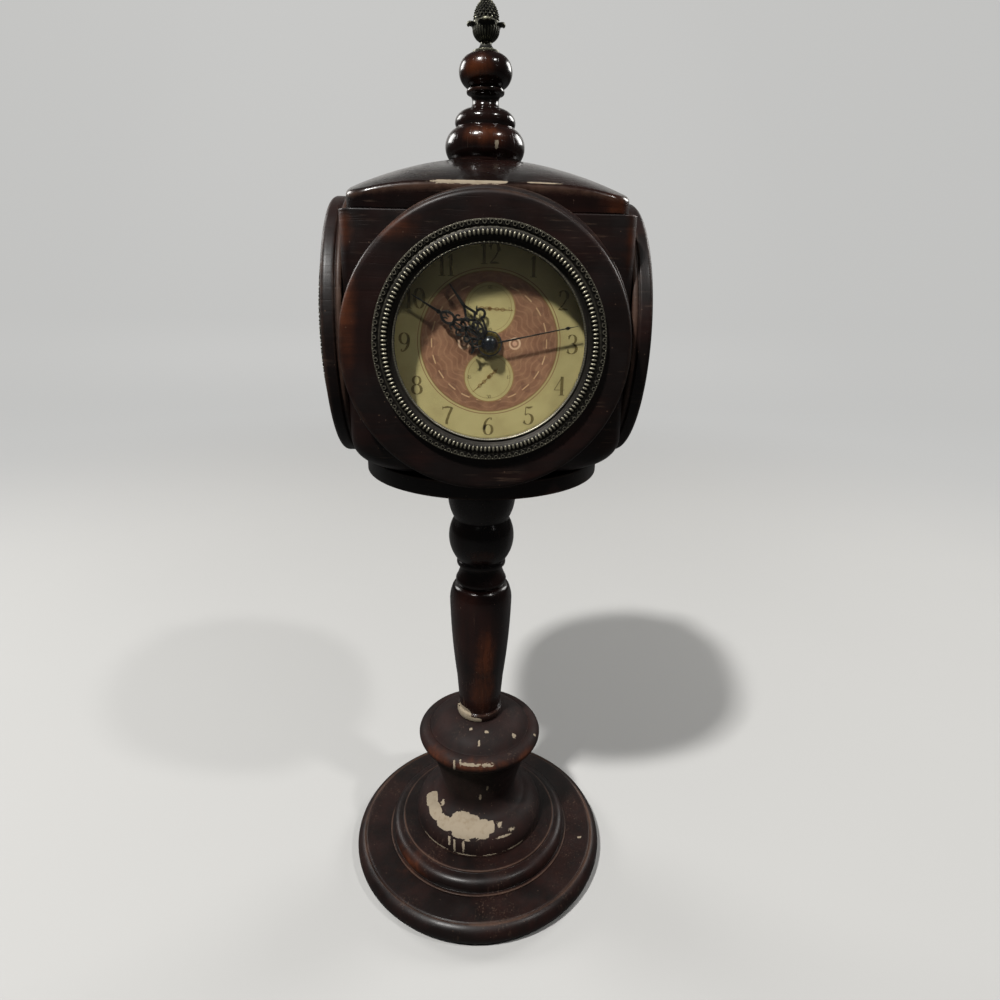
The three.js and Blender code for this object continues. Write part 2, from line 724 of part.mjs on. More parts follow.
// Housing behind the dial, with an open bay for its cell and a threaded neck through the dial
function movement() {
  const bayLow = -movementHalf + BAY_RIM;
  const rear = movementDepth - CASE_HALF;
  const bay = box(
    [-bayHalfLength, rear - 2 * bayHalf, bayLow],
    [bayHalfLength, rear + CUT, bayLow + 2 * bayHalf],
  );
  const nutRim = bushingRadius + DIAL_NUT_RIM;
  const neck = disc(bushingRadius, -CUT, dialNutTop, SMALL_SIDES, faceTurned);
  const nut = disc(nutRim, dialNutTop - DIAL_NUT_HEIGHT, dialNutTop, SMALL_SIDES, faceTurned);
  const bore = disc(bushingBore, -PIPE_DEPTH - CUT, dialNutTop + CUT, SMALL_SIDES, faceTurned);
  const holeRadius = KNOB_ARBOR_RADIUS + SEAT_GAP;
  const holeEnd = KNOB_ARBOR_DEPTH + SEAT_GAP - movementDepth;
  const arborHole = disc(holeRadius, -movementDepth - CUT, holeEnd, SMALL_SIDES, faceTurned);
  return faceSheet(roundedSquare(movementHalf, MOVEMENT_CORNER), -movementDepth, 0, CORNER_FACETS)
    .add(neck)
    .add(nut)
    .subtract(bore)
    .subtract(bay)
    .subtract(arborHole.translate([0, 0, KNOB_RISE]));
}

function cell() {
  const outline = new Profile(0).across(CELL_RADIUS).up(CELL_LENGTH).across(CELL_NUB_RADIUS).up(CELL_NUB);
  outline.across(0).to(0, 0);
  const low = -movementHalf + BAY_RIM + bayHalf;
  return turned(outline, SMALL_SIDES)
    .translate([0, 0, -(CELL_LENGTH + CELL_NUB) / 2])
    .rotate([0, 90, 0])
    .translate([0, movementDepth - CASE_HALF - bayHalf, low]);
}

function setKnob() {
  const low = -movementDepth - SEAT_GAP - KNOB_HEIGHT;
  const outline = new Profile(0, low).across(KNOB_RADIUS).up(KNOB_HEIGHT).across(KNOB_ARBOR_RADIUS);
  outline.up(SEAT_GAP + KNOB_ARBOR_DEPTH).across(0).to(0, low);
  return faceTurned(outline, SMALL_SIDES).translate([0, 0, KNOB_RISE]);
}

// Tapered strip from one distance along the hand to another
function strip(from, to, startWidth, endWidth, level) {
  const shape = new THREE.Shape();
  shape.moveTo(-startWidth / 2, from);
  shape.lineTo(startWidth / 2, from);
  shape.lineTo(endWidth / 2, to);
  shape.lineTo(-endWidth / 2, to);
  return faceSheet(shape, level, level + HAND_THICKNESS);
}

// Open scroll of wire in the plane of the hand
function scroll(side, along, radius, level) {
  const shape = new THREE.Shape();
  shape.absarc(side, along, radius + WIRE / 2, 0, 2 * Math.PI);
  const eye = new THREE.Path();
  eye.absarc(side, along, radius - WIRE / 2, 0, 2 * Math.PI);
  shape.holes.push(eye);
  return faceSheet(shape, level, level + HAND_THICKNESS);
}

// Scrolls on alternate sides of a hand: the first is nearest the collet
function scrolls(level, from, radii) {
  let along = from;
  return radii.map((radius, k) => {
    along += radius;
    const side = k % 2 === 0 ? 1 : -1;
    const piece = scroll(side * (radius - WIRE / 4), along, radius, level);
    along += radius / 2;
    return piece;
  });
}

const clockwise = (body, turns) => body.rotate([0, 360 * turns, 0]);
const joined = (pieces) => pieces.reduce((whole, piece) => whole.add(piece));

function hourHand() {
  const collet = hourPipe + HOUR_COLLET_RIM;
  const outline = new Profile(hourBore, -PIPE_DEPTH).across(hourPipe).to(hourPipe, hourLevel);
  outline.across(collet).up(COLLET_HEIGHT).closeAlong(hourBore);
  const blade = strip(hourPipe, HOUR_LENGTH, 2 * WIRE, WIRE / 2, hourLevel);
  const pieces = [blade, ...scrolls(hourLevel, collet, HOUR_SCROLLS)];
  pieces.push(faceTurned(outline, SMALL_SIDES));
  return clockwise(joined(pieces), (TIME.hour + TIME.minute / 60) / 12);
}

function minuteHand() {
  const collet = minuteArbor + MINUTE_COLLET_RIM;
  const outline = new Profile(0, -PIPE_DEPTH).across(minuteArbor).to(minuteArbor, minuteLevel);
  outline.across(collet).up(COLLET_HEIGHT).across(secondSocket);
  outline.up(-SECOND_PIN_DEPTH - SEAT_GAP).across(0).to(0, -PIPE_DEPTH);
  const blade = strip(minuteArbor, OPENING_RADIUS - HAND_TIP_MARGIN, 2 * WIRE, WIRE / 2, minuteLevel);
  const pieces = [blade, ...scrolls(minuteLevel, collet, MINUTE_SCROLLS)];
  pieces.push(faceTurned(outline, SMALL_SIDES));
  return clockwise(joined(pieces), (TIME.minute + TIME.second / 60) / 60);
}

// Thin sweep hand under the round centre cap, with a ring on its tail
function secondHand() {
  const pinFoot = secondLevel - SEAT_GAP - SECOND_PIN_DEPTH;
  const outline = new Profile(0, pinFoot).across(SECOND_PIN_RADIUS).to(SECOND_PIN_RADIUS, secondLevel);
  outline.across(CAP_RADIUS).up(HAND_THICKNESS).up(CAP_RISE - HAND_THICKNESS, 0, CAP_RISE / 4);
  outline.to(0, pinFoot);
  const tailRing = CAP_RADIUS / 2;
  const pieces = [
    faceTurned(outline, SMALL_SIDES),
    strip(0, OPENING_RADIUS - HAND_TIP_MARGIN, WIRE, WIRE / 2, secondLevel),
    strip(-SECOND_TAIL + 2 * tailRing, 0, WIRE, WIRE, secondLevel),
    scroll(0, -SECOND_TAIL + tailRing, tailRing, secondLevel),
  ];
  return clockwise(joined(pieces), TIME.second / 60);
}

const FACES = ['front', 'right', 'back', 'left'];

FACES.forEach((name, k) => {
  const wall = new THREE.Group();
  wall.position.z = caseFoot;
  wall.rotation.z = (k * Math.PI) / 2;
  const halfWidth = k % 2 === 0 ? 2 * CASE_HALF : innerHalf - SEAT_GAP;
  wall.add(node(`${name}_wall`, caseWall(halfWidth), LACQUER));

  const face = new THREE.Group();
  face.position.z = faceRise;
  const dial = washer(bushingRadius + SEAT_GAP, dialRadius, SEAT_GAP, dialFace, DIAL_SIDES, faceTurned);
  const glass = disc(glassRadius, glassBack, glassFront, DIAL_SIDES, faceTurned);
  face.add(node(`${name}_ring`, woodRing(), LACQUER));
  face.add(node(`${name}_bezel`, bezel(), BRONZE));
  face.add(node(`${name}_glass`, glass, CLEAR_GLASS));
  face.add(node(`${name}_dial`, dial, DIAL_PAPER));
  face.add(node(`${name}_movement`, movement(), BLACK_PLASTIC));
  face.add(node(`${name}_cell`, cell(), CELL_JACKET));
  face.add(node(`${name}_set_knob`, setKnob(), BLACK_PLASTIC));
  face.add(node(`${name}_hour_hand`, hourHand(), BLACK_METAL));
  face.add(node(`${name}_minute_hand`, minuteHand(), BLACK_METAL));
  face.add(node(`${name}_second_hand`, secondHand(), BLACK_METAL));
  wall.add(face);
  clock.add(wall);
});

export default clock;
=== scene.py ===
"""Looks of a four-faced mantel clock: a square head with four round dials on a turned pedestal.

Lengths are written in millimetres, and each mesh becomes metres as it is made. The frame gives the levels
at which the pieces stand. The outlines are those of the solids, with finer arcs and eased corners.
"""
import math

import bmesh
import bpy
import numpy as np
from mathutils import Matrix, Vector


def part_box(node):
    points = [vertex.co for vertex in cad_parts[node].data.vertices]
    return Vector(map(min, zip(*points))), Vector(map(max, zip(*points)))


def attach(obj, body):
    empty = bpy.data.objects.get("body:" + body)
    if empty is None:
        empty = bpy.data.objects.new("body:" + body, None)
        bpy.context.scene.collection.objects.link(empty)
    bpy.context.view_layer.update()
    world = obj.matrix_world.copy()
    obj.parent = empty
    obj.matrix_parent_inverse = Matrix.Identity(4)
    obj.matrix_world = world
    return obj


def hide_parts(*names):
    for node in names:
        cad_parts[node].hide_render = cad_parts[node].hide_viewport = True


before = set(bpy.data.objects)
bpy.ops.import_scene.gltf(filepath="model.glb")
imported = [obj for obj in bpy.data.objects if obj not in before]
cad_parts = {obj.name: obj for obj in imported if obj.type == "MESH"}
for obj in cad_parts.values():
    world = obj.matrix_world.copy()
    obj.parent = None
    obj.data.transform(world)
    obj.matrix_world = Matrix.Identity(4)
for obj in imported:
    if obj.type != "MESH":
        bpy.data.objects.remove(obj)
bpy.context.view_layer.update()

MM = 0.001
FACES = ("front", "right", "back", "left")

# Meshes
WELD = 1e-7  # metres between points that are one point
SHARP = math.radians(40)
STEP = 0.1  # even steps at which an outline is walked
WEAR_REACH = 1.1  # how far wear spreads from a corner
MOST_WEAR = 0.85
ARC_STEPS = 40
WIDE_SIDES = 144
SLIM_SIDES = 96

# Case, roof and faces. Upright corners are rounder than in the solids, and the case's rim is sharper.
CASE_HALF = 70.0
CASE_CORNER = 8.0
CORNER_SWELL = 14.0  # added to the upright corners' radius at the foot of the case
CASE_LOWER_ROUND = 22.0
CASE_UPPER_ROUND = 0.8
INNER_HALF = 60.0
POCKET_HALF = 29.0
NUT_POCKET_RADIUS = 10.5
BORE_RADIUS = 4.6
ROOF_HALF = 67.0
ROOF_CORNER = 11.0
ROOF_SEAT = 21.5
ROOF_CORNER_EDGE = 7.2
ROOF_BOW = 2.1
ROOF_SQUARENESS = 4
ROOF_PLUG_DEPTH = 6.0
ROOF_EASE = 1.6
DIAL_RADIUS = 45.0  # that shows inside the bezel
RING_BORE = 48.2
COLLET_HEIGHT = 0.9
HAND_THICKNESS = 0.5
TIME = {"hour": 10, "minute": 50, "second": 13}

# Bezel
PEARLS = 100
PEARL_CIRCLE = 53.9
PEARL_RADIUS = 0.8
PEARL_WIRE = 0.3
GADROONS = 156
GADROON_CIRCLE = 49.6
GADROON_LENGTH = 3.1
GADROON_WIDTH = 1.4
GADROON_RISE = 1.0
MILLED_TEETH = 240

# Wooden rings
RING_FOOT = 0.3
RING_BEAD = 3.2
RING_NOSE = 2.8
FRONT_RING_SHIFT = (-1.4, -2.2)  # the front ring was glued on a little low and to the left

# Camera, fitted to the photograph's turned rings and dial
CAMERA_PLACE = (-16.3, -393.7, 419.3)
CAMERA_PITCH = math.radians(19.5)
CAMERA_YAW = math.radians(4.08)
CAMERA_ROLL = math.radians(1.11)
FOCAL_PIXELS = 649.9
IMAGE_PIXELS = 1000
SENSOR = 36.0


def level(node):
    """Height of a node's foot."""
    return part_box(node)[0].z / MM


def height(node):
    low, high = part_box(node)
    return (high.z - low.z) / MM


def outward(part):
    """How far out from the case's face a front part starts and ends."""
    low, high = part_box("front_" + part)
    return -high.y / MM - CASE_HALF, -low.y / MM - CASE_HALF


DIAL_LOW, DIAL_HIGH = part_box("front_dial")
AXIS = (DIAL_LOW.z + DIAL_HIGH.z) / 2 / MM  # height of the dials' centres


# Shells and pieces


def circle(count):
    """Angles at even steps round a circle."""
    return np.linspace(0, 2 * np.pi, count, endpoint=False)


def round_grid(radius, angle, rise):
    """Points at a radius, an angle and a height: each is a number or a grid."""
    parts = (radius * np.cos(angle), radius * np.sin(angle), rise + 0 * angle)
    return np.stack(np.broadcast_arrays(*parts), -1)


def quarter(k):
    """Cosine and sine of k quarter turns."""
    return round(math.cos(k * math.pi / 2)), round(math.sin(k * math.pi / 2))


def domed(count, least):
    """Widths along a round bead, from nearly none to one and back."""
    return np.sqrt(np.clip(1 - np.linspace(-1, 1, count) ** 2, least, 1))


def sheet(grid, edge=0.0, hollow=0.0, wrap_rows=True, wrap_columns=True):
    """A grid of points as a shell of quads. edge and hollow say where a finish wears and where dirt stays."""
    rows, columns = grid.shape[:2]
    index = np.arange(rows * columns).reshape(rows, columns)
    if wrap_rows:
        index = np.vstack([index, index[:1]])
    if wrap_columns:
        index = np.hstack([index, index[:, :1]])
    corners = index[:-1, :-1], index[:-1, 1:], index[1:, 1:], index[1:, :-1]
    return {
        "points": grid.reshape(-1, 3),
        "quads": np.stack(corners, -1).reshape(-1, 4),
        "edge": np.broadcast_to(np.asarray(edge, float), (rows, columns)).ravel(),
        "hollow": np.broadcast_to(np.asarray(hollow, float), (rows, columns)).ravel(),
    }


def joined(shells):
    starts = np.cumsum([0] + [len(shell["points"]) for shell in shells[:-1]])
    whole = {key: np.concatenate([shell[key] for shell in shells]) for key in ("points", "edge", "hollow")}
    whole["quads"] = np.concatenate([shell["quads"] + start for shell, start in zip(shells, starts)])
    return whole


def repeated(shell, turns):
    """Copies of a shell turned about Z by each of the angles, as one shell."""
    x, y, z = shell["points"].T
    cosine, sine = np.cos(turns)[:, None], np.sin(turns)[:, None]
    rise = np.broadcast_to(z, (len(turns), len(z)))
    points = np.stack([cosine * x - sine * y, sine * x + cosine * y, rise], -1)
    starts = np.arange(len(turns))[:, None, None] * len(z)
    return {
        "points": points.reshape(-1, 3),
        "quads": (shell["quads"] + starts).reshape(-1, 4),
        "edge": np.tile(shell["edge"], len(turns)),
        "hollow": np.tile(shell["hollow"], len(turns)),
    }


def moved(shell, offset):
    return {**shell, "points": shell["points"] + np.asarray(offset, float)}


def on_face(shell, k):
    """From a face's own frame (right, up, and outward from the case's face) to face k of the case."""
    right, up, out = shell["points"].T
    depth = -(CASE_HALF + out)
    cosine, sine = quarter(k)
    place = np.stack([cosine * right - sine * depth, sine * right + cosine * depth, AXIS + up], 1)
    return {**shell, "points": place}


def piece(name, shells, material, body, slot, *nodes, place=None):
    """Joins shells into one object, closes its poles, and puts it on a body in the place of CAD nodes."""
    whole = joined(shells)
    count = len(whole["quads"])
    mesh = bpy.data.meshes.new(name)
    mesh.vertices.add(len(whole["points"]))
    mesh.vertices.foreach_set("co", (whole["points"] * MM).ravel())
    mesh.loops.add(4 * count)
    mesh.loops.foreach_set("vertex_index", whole["quads"].ravel())
    mesh.polygons.add(count)
    mesh.polygons.foreach_set("loop_start", np.arange(0, 4 * count, 4))
    for key in ("edge", "hollow"):
        mesh.attributes.new(key, "FLOAT", "POINT").data.foreach_set("value", whole[key])
    if place is not None:
        mesh.attributes.new("place", "FLOAT_VECTOR", "POINT").data.foreach_set("vector", place.ravel())
    mesh.update(calc_edges=True)
    shape = bmesh.new()
    shape.from_mesh(mesh)
    bmesh.ops.remove_doubles(shape, verts=shape.verts, dist=WELD)
    bmesh.ops.recalc_face_normals(shape, faces=shape.faces)
    shape.to_mesh(mesh)
    shape.free()
    mesh.shade_smooth()
    mesh.set_sharp_from_angle(angle=SHARP)
    mesh.materials.append(material)
    made = bpy.data.objects.new(name, mesh)
    bpy.context.scene.collection.objects.link(made)
    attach(made, body)
    if nodes:
        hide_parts(*nodes)


def stand(name, shell, material, body, slot, node):
    """A piece that stands at the level of the CAD node in whose place it is put."""
    piece(name, [moved(shell, (0, 0, level(node)))], material, body, slot, node)


def face_piece(face, part, shells, material, slot, node=None, body=None, place=None):
    """A piece of one face, given in that face's own frame. node and body go without the face's name."""
    shells = [on_face(shell, FACES.index(face)) for shell in shells]
    nodes = [f"{face}_{node}"] if node else []
    carrier = f"{face}_{body}" if body else "head"
    piece(f"{face}_{part}", shells, material, carrier, slot, *nodes, place=place)


# Turned work


class Outline:
    """Outline of a turned piece, radius across and height up, walked from its foot outward and up."""

    def __init__(self, radius, height=0.0):
        self.legs = [np.array([[radius, height]], float)]

    @property
    def last(self):
        return self.legs[-1][-1]

    def to(self, radius, height):
        self.legs.append(np.array([[radius, height]], float))
        return self

    def across(self, radius):
        return self.to(radius, self.last[1])

    def up(self, rise, radius=None, bow=0.0):
        """Rises to a new radius on a circular arc that stands off its chord by bow, outward if positive."""
        start = self.last
        end = np.array([start[0] if radius is None else radius, start[1] + rise])
        if bow == 0:
            return self.to(*end)
        chord = end - start
        half = np.linalg.norm(chord) / 2
        along = chord / (2 * half)
        outside = np.array([along[1], -along[0]])
        arc_radius = (half**2 + bow**2) / (2 * bow)
        angle = math.asin(half / arc_radius) * np.linspace(-1, 1, ARC_STEPS + 1)[1:, None]
        centre = start + chord / 2 + outside * (bow - arc_radius)
        self.legs.append(centre + arc_radius * (outside * np.cos(angle) + along * np.sin(angle)))
        return self


def averaged(values, reach, ends):
    """Values along an outline, each averaged with its neighbours by a bell-shaped weight."""
    half = math.ceil(3 * reach / STEP)
    weight = np.exp(-0.5 * (np.arange(-half, half + 1) * STEP / reach) ** 2)
    padded = np.pad(values, half, mode="reflect", reflect_type=ends)
    return np.convolve(padded, weight / weight.sum(), "valid")


def walked(outline, ease=0.4, gap=2.2, turn=0.22):
    """Rows of a turned piece: radius, height, edge and hollow.

    The outline is walked at even steps and averaged over its neighbours, which rounds its corners. Rows
    are then taken wherever it has gone on by gap or bent by turn. Edge is how far it bends outward within
    reach of a row, as a share of a square corner, and hollow is the same for inward bends.
    """
    points = np.concatenate(outline.legs)
    distance = np.append(0, np.cumsum(np.hypot(*np.diff(points, axis=0).T)))
    even = np.linspace(0, distance[-1], round(distance[-1] / STEP))
    radius, rise = (averaged(np.interp(even, distance, column), ease, "odd") for column in points.T)
    bend = np.gradient(np.unwrap(np.arctan2(np.gradient(rise), np.gradient(radius)))) / STEP
    pull = np.cumsum(np.abs(bend) * STEP / turn + STEP / gap)
    rows = np.interp(np.linspace(pull[0], pull[-1], int(pull[-1]) + 2), pull, np.arange(len(pull)))
    share = WEAR_REACH * math.sqrt(2 * math.pi) / (math.pi / 2)
    edge = np.minimum(averaged(np.maximum(bend, 0), WEAR_REACH, "even") * share, MOST_WEAR)
    hollow = averaged(np.maximum(-bend, 0), WEAR_REACH, "even") * share
    columns = [np.interp(rows, np.arange(len(even)), line) for line in (radius, rise, edge, hollow)]
    return np.stack(columns, 1)


def spun(radius, rise, sides):
    """Rows of radius and height carried round the Z axis."""
    return round_grid(np.asarray(radius, float)[:, None], circle(sides), np.asarray(rise, float)[:, None])


def turned(outline, sides, *inside, **walk):
    """A turned shell. inside closes the outline where it doesn't show, in radius and height, to its start."""
    rows = walked(outline, **walk)
    if inside:
        rows = np.vstack([rows, np.pad(np.array(inside, float), ((0, 0), (0, 2)))])
    radius, rise, edge, hollow = rows.T
    return sheet(spun(radius, rise, sides), edge[:, None], hollow[:, None])


def ribbon(path, width, low, high, bevel=0.1):
    """A flat bar of bevelled section carried along a path in the plane, closed to a point at each end."""
    path = np.asarray(path, float)
    along = np.gradient(path, axis=0)
    along /= np.linalg.norm(along, axis=1)[:, None]
    side = np.stack([along[:, 1], -along[:, 0]], 1)
    half = np.broadcast_to(np.asarray(width, float), len(path)) / 2
    inner = np.maximum(half - bevel, half / 2)
    lift = min(bevel, (high - low) / 3)
    across = np.stack([-half, -inner, inner, half, half, inner, -inner, -half], 1)
    rise = np.array([low + lift, low, low, low + lift, high - lift, high, high, high - lift])
    plane = path[:, None, :] + side[:, None, :] * across[:, :, None]
    grid = np.concatenate([plane, np.broadcast_to(rise[:, None], (len(path), 8, 1))], 2)
    start, end = (np.broadcast_to([*path[k], (low + high) / 2], (1, 8, 3)) for k in (0, -1))
    return sheet(np.concatenate([start, grid, end]), wrap_rows=False)


# Shader graphs


def tone(red, green, blue):
    """A colour as it is seen, from 0 to 255, as the linear colour that a shader takes."""
    seen = np.array([red, green, blue]) / 255
    linear = np.where(seen <= 0.04045, seen / 12.92, ((seen + 0.055) / 1.055) ** 2.4)
    return (*linear.tolist(), 1.0)


class Graph:
    """A node tree, with one short call for each kind of node that the finishes use."""

    def __init__(self, tree):
        self.tree = tree

    def put(self, socket, value):
        if isinstance(value, bpy.types.NodeSocket):
            self.tree.links.new(value, socket)
        else:
            socket.default_value = value

    def add(self, kind, inputs=(), **settings):
        node = self.tree.nodes.new("ShaderNode" + kind)
        for key, value in settings.items():
            setattr(node, key, value)
        for key, value in dict(inputs).items():
            self.put(node.inputs[key], value)
        return node

    def math(self, operation, *values):
        return self.add("Math", enumerate(values), operation=operation).outputs[0]

    def vector(self, operation, *values):
        node = self.add("VectorMath", enumerate(values), operation=operation)
        return node.outputs["Value" if operation in ("LENGTH", "DOT_PRODUCT") else "Vector"]

    def noise(self, place, scale, detail=3.0, roughness=0.55):
        inputs = {"Vector": place, "Scale": scale, "Detail": detail, "Roughness": roughness}
        return self.add("TexNoise", inputs).outputs["Fac"]

    def cell(self, place, scale):
        """A value from 0 to 1 that is the same all over each cell."""
        colour = self.add("TexVoronoi", {"Vector": place, "Scale": scale}).outputs["Color"]
        return self.vector("DOT_PRODUCT", colour, (1.0, 0.0, 0.0))

    def ramp(self, value, low, high, start=0.0, end=1.0):
        """Runs smoothly from start to end as value goes from low to high."""
        inputs = {"Value": value, "From Min": low, "From Max": high, "To Min": start, "To Max": end}
        return self.add("MapRange", inputs, interpolation_type="SMOOTHSTEP").outputs[0]

    def mix(self, factor, first, second):
        node = self.add("Mix", {0: factor, 6: first, 7: second}, data_type="RGBA")
        return node.outputs[2]

    def largest(self, values):
        whole = values[0]
        for value in values[1:]:
            whole = self.math("MAXIMUM", whole, value)
        return whole

    def attribute(self, name, output="Fac"):
        return self.add("Attribute", attribute_name=name).outputs[output]

    def place(self):
        return self.add("TexCoord").outputs["Object"]

    def use(self, group, inputs, output=0):
        node = self.tree.nodes.new("ShaderNodeGroup")
        node.node_tree = group
        for key, value in inputs.items():
            self.put(node.inputs[key], value)
        return node.outputs if output is None else node.outputs[output]


def shader_group(name, inputs, outputs, build):
    """A node group with named sockets. build takes its graph and inputs and returns its outputs."""
    tree = bpy.data.node_groups.new(name, "ShaderNodeTree")
    for key, kind in inputs.items():
        tree.interface.new_socket(key, in_out="INPUT", socket_type="NodeSocket" + kind)
    for key, kind in outputs.items():
        tree.interface.new_socket(key, in_out="OUTPUT", socket_type="NodeSocket" + kind)
    given = tree.nodes.new("NodeGroupInput").outputs
    result = tree.nodes.new("NodeGroupOutput").inputs
    graph = Graph(tree)
    for key, value in build(graph, given).items():
        graph.put(result[key], value)
    return tree


def finish(name, build, **constants):
    """A material: constants go straight on the shader's sockets, and build links what varies."""
    material = bpy.data.materials.new(name)
    material.use_nodes = True
    tree = material.node_tree
    graph = Graph(tree)
    shader = tree.nodes["Principled BSDF"]
    for key, value in constants.items():
        shader.inputs[key.replace("_", " ").title().replace("Ior", "IOR")].default_value = value
    for key, value in build(graph).items():
        graph.put(shader.inputs[key], value)
    return material


def bump(graph, relief, depth):
    """Normal of a relief from 0 to 1 that is depth metres deep."""
    return graph.add("Bump", {"Height": relief, "Distance": depth, "Strength": 1.0}).outputs[0]


def build_grain(graph, given):
    """Streaks and pores drawn out by the stretch, and broad patches where the stain is thin."""
    place = given["Place"]
    drawn = graph.vector("MULTIPLY", place, given["Stretch"])
    sway = graph.noise(place, 30.0, 1.0)
    streak = graph.ramp(graph.noise(graph.vector("ADD", drawn, sway), 1.0, 5.0, 0.6), 0.3, 0.7)
    pore = graph.ramp(graph.noise(drawn, 4.5, 2.0), 0.55, 0.7)
    patch = graph.ramp(graph.noise(place, 26.0, 2.0), 0.38, 0.66)
    return {"Streak": streak, "Pore": pore, "Patch": patch}


def build_wear(graph, given):
    """Rub: lacquer worn thin along edges in uneven runs. Bare: short flecks where it is gone."""
    place = given["Place"]
    runs = graph.noise(place, 38.0, 3.0)
    grit = graph.noise(place, 420.0, 3.0, 0.65)
    worn = graph.math("MULTIPLY", given["Edge"], graph.math("ADD", runs, given["Reach"]))
    rub = graph.ramp(graph.math("ADD", worn, graph.math("MULTIPLY", grit, 0.3)), 0.5, 1.05)
    bare = graph.ramp(graph.math("ADD", worn, graph.math("MULTIPLY", grit, 0.7)), 1.28, 1.36)
    return {"Rub": rub, "Bare": bare}


def build_spot(graph, given):
    """Distance from a spot's centre, in the spot's own half-sizes: round for Flake 0, square for Flake 1."""
    away = graph.vector("DIVIDE", graph.vector("SUBTRACT", given["Place"], given["Centre"]), given["Size"])
    away = graph.vector("ABSOLUTE", away)
    spread = graph.vector("LENGTH", away)
    boxed = graph.largest(list(graph.add("SeparateXYZ", {0: away}).outputs))
    square = graph.math("SUBTRACT", boxed, spread)
    return {"Distance": graph.math("MULTIPLY_ADD", square, given["Flake"], spread)}


def build_rag(graph, given):
    """What makes the rims of spots ragged: clouds for Flake 0, flat cells for Flake 1, and grit on both."""
    cloud = graph.noise(given["Place"], given["Grit"], 2.0, 0.6)
    flake = graph.math("SUBTRACT", graph.cell(given["Place"], given["Grit"]), cloud)
    coarse = graph.math("SUBTRACT", graph.math("MULTIPLY_ADD", flake, given["Flake"], cloud), 0.5)
    fine_scale = graph.math("MULTIPLY", given["Grit"], 4.0)
    fine = graph.math("SUBTRACT", graph.noise(given["Place"], fine_scale, 3.0, 0.7), 0.5)
    return {"Rough": graph.math("MULTIPLY_ADD", fine, 0.4, coarse)}


def build_dust(graph, given):
    """Small pale specks: a dot in the middle of some cells."""
    cells = graph.add("TexVoronoi", {"Vector": given["Place"], "Scale": 360.0}).outputs
    dot = graph.ramp(cells["Distance"], 0.14, 0.06)
    pick = graph.vector("DOT_PRODUCT", cells["Color"], (1.0, 0.0, 0.0))
    drift = graph.ramp(graph.noise(given["Place"], 40.0, 2.0), 0.4, 0.65, 0.9, 0.6)
    return {"Mask": graph.math("MULTIPLY", dot, graph.math("GREATER_THAN", pick, drift))}


GRAIN = shader_group(
    "wood grain",
    {"Place": "Vector", "Stretch": "Vector"},
    {"Streak": "Float", "Pore": "Float", "Patch": "Float"},
    build_grain,
)
WEAR = shader_group(
    "edge wear",
    {"Place": "Vector", "Edge": "Float", "Reach": "Float"},
    {"Rub": "Float", "Bare": "Float"},
    build_wear,
)
SPECKS = shader_group("dust specks", {"Place": "Vector"}, {"Mask": "Float"}, build_dust)
SPOT = shader_group(
    "spot",
    {"Place": "Vector", "Centre": "Vector", "Size": "Vector", "Flake": "Float"},
    {"Distance": "Float"},
    build_spot,
)
RAG = shader_group(
    "ragged rims",
    {"Place": "Vector", "Grit": "Float", "Flake": "Float"},
    {"Rough": "Float"},
    build_rag,
)


def spots(graph, place, marks, grit, flake, rag, outside, inside):
    """A mask of several spots. A mark is a centre and three half-sizes in millimetres."""
    if not marks:
        return 0.0
    nearest = None
    for centre, size in marks:
        inputs = {
            "Place": place,
            "Centre": [value * MM for value in centre],
            "Size": [value * MM for value in size],
            "Flake": flake,
        }
        distance = graph.use(SPOT, inputs)
        nearest = distance if nearest is None else graph.math("MINIMUM", nearest, distance)
    rough = graph.use(RAG, {"Place": place, "Grit": grit, "Flake": flake})
    return graph.ramp(graph.math("MULTIPLY_ADD", rough, rag, nearest), outside, inside)


# Finishes

STAIN = tone(15, 9, 8)
STAIN_RED = tone(38, 17, 13)
# lacquer rubbed thin; on the column's front this tone also paints a warm glow of light
RUB_AND_GLOW_TONE = tone(92, 47, 24)
SCUFF = tone(84, 62, 50)
DUST = tone(92, 74, 62)
UNDERCOAT = tone(134, 123, 106)
UNDERCOAT_DIRTY = tone(118, 105, 86)

# How marks look: grit, flake, rag, and where their rims start and end
RUB_AND_GLOW_LOOK = (60.0, 0.0, 0.9, 1.15, 0.1)
CHIP_LOOK = (190.0, 0.6, 0.4, 1.12, 1.07)
FLECK_LOOK = (700.0, 0.5, 1.2, 1.0, 0.9)

LACQUER_RELIEF = 0.0003  # metres from bare wood to the lacquer's top

# How grain is drawn out, in waves to the metre: upright, level all round, and along X
UPRIGHT = (190.0, 190.0, 9.0)
LEVEL = (11.0, 11.0, 210.0)
ALONG_X = (8.0, 210.0, 210.0)


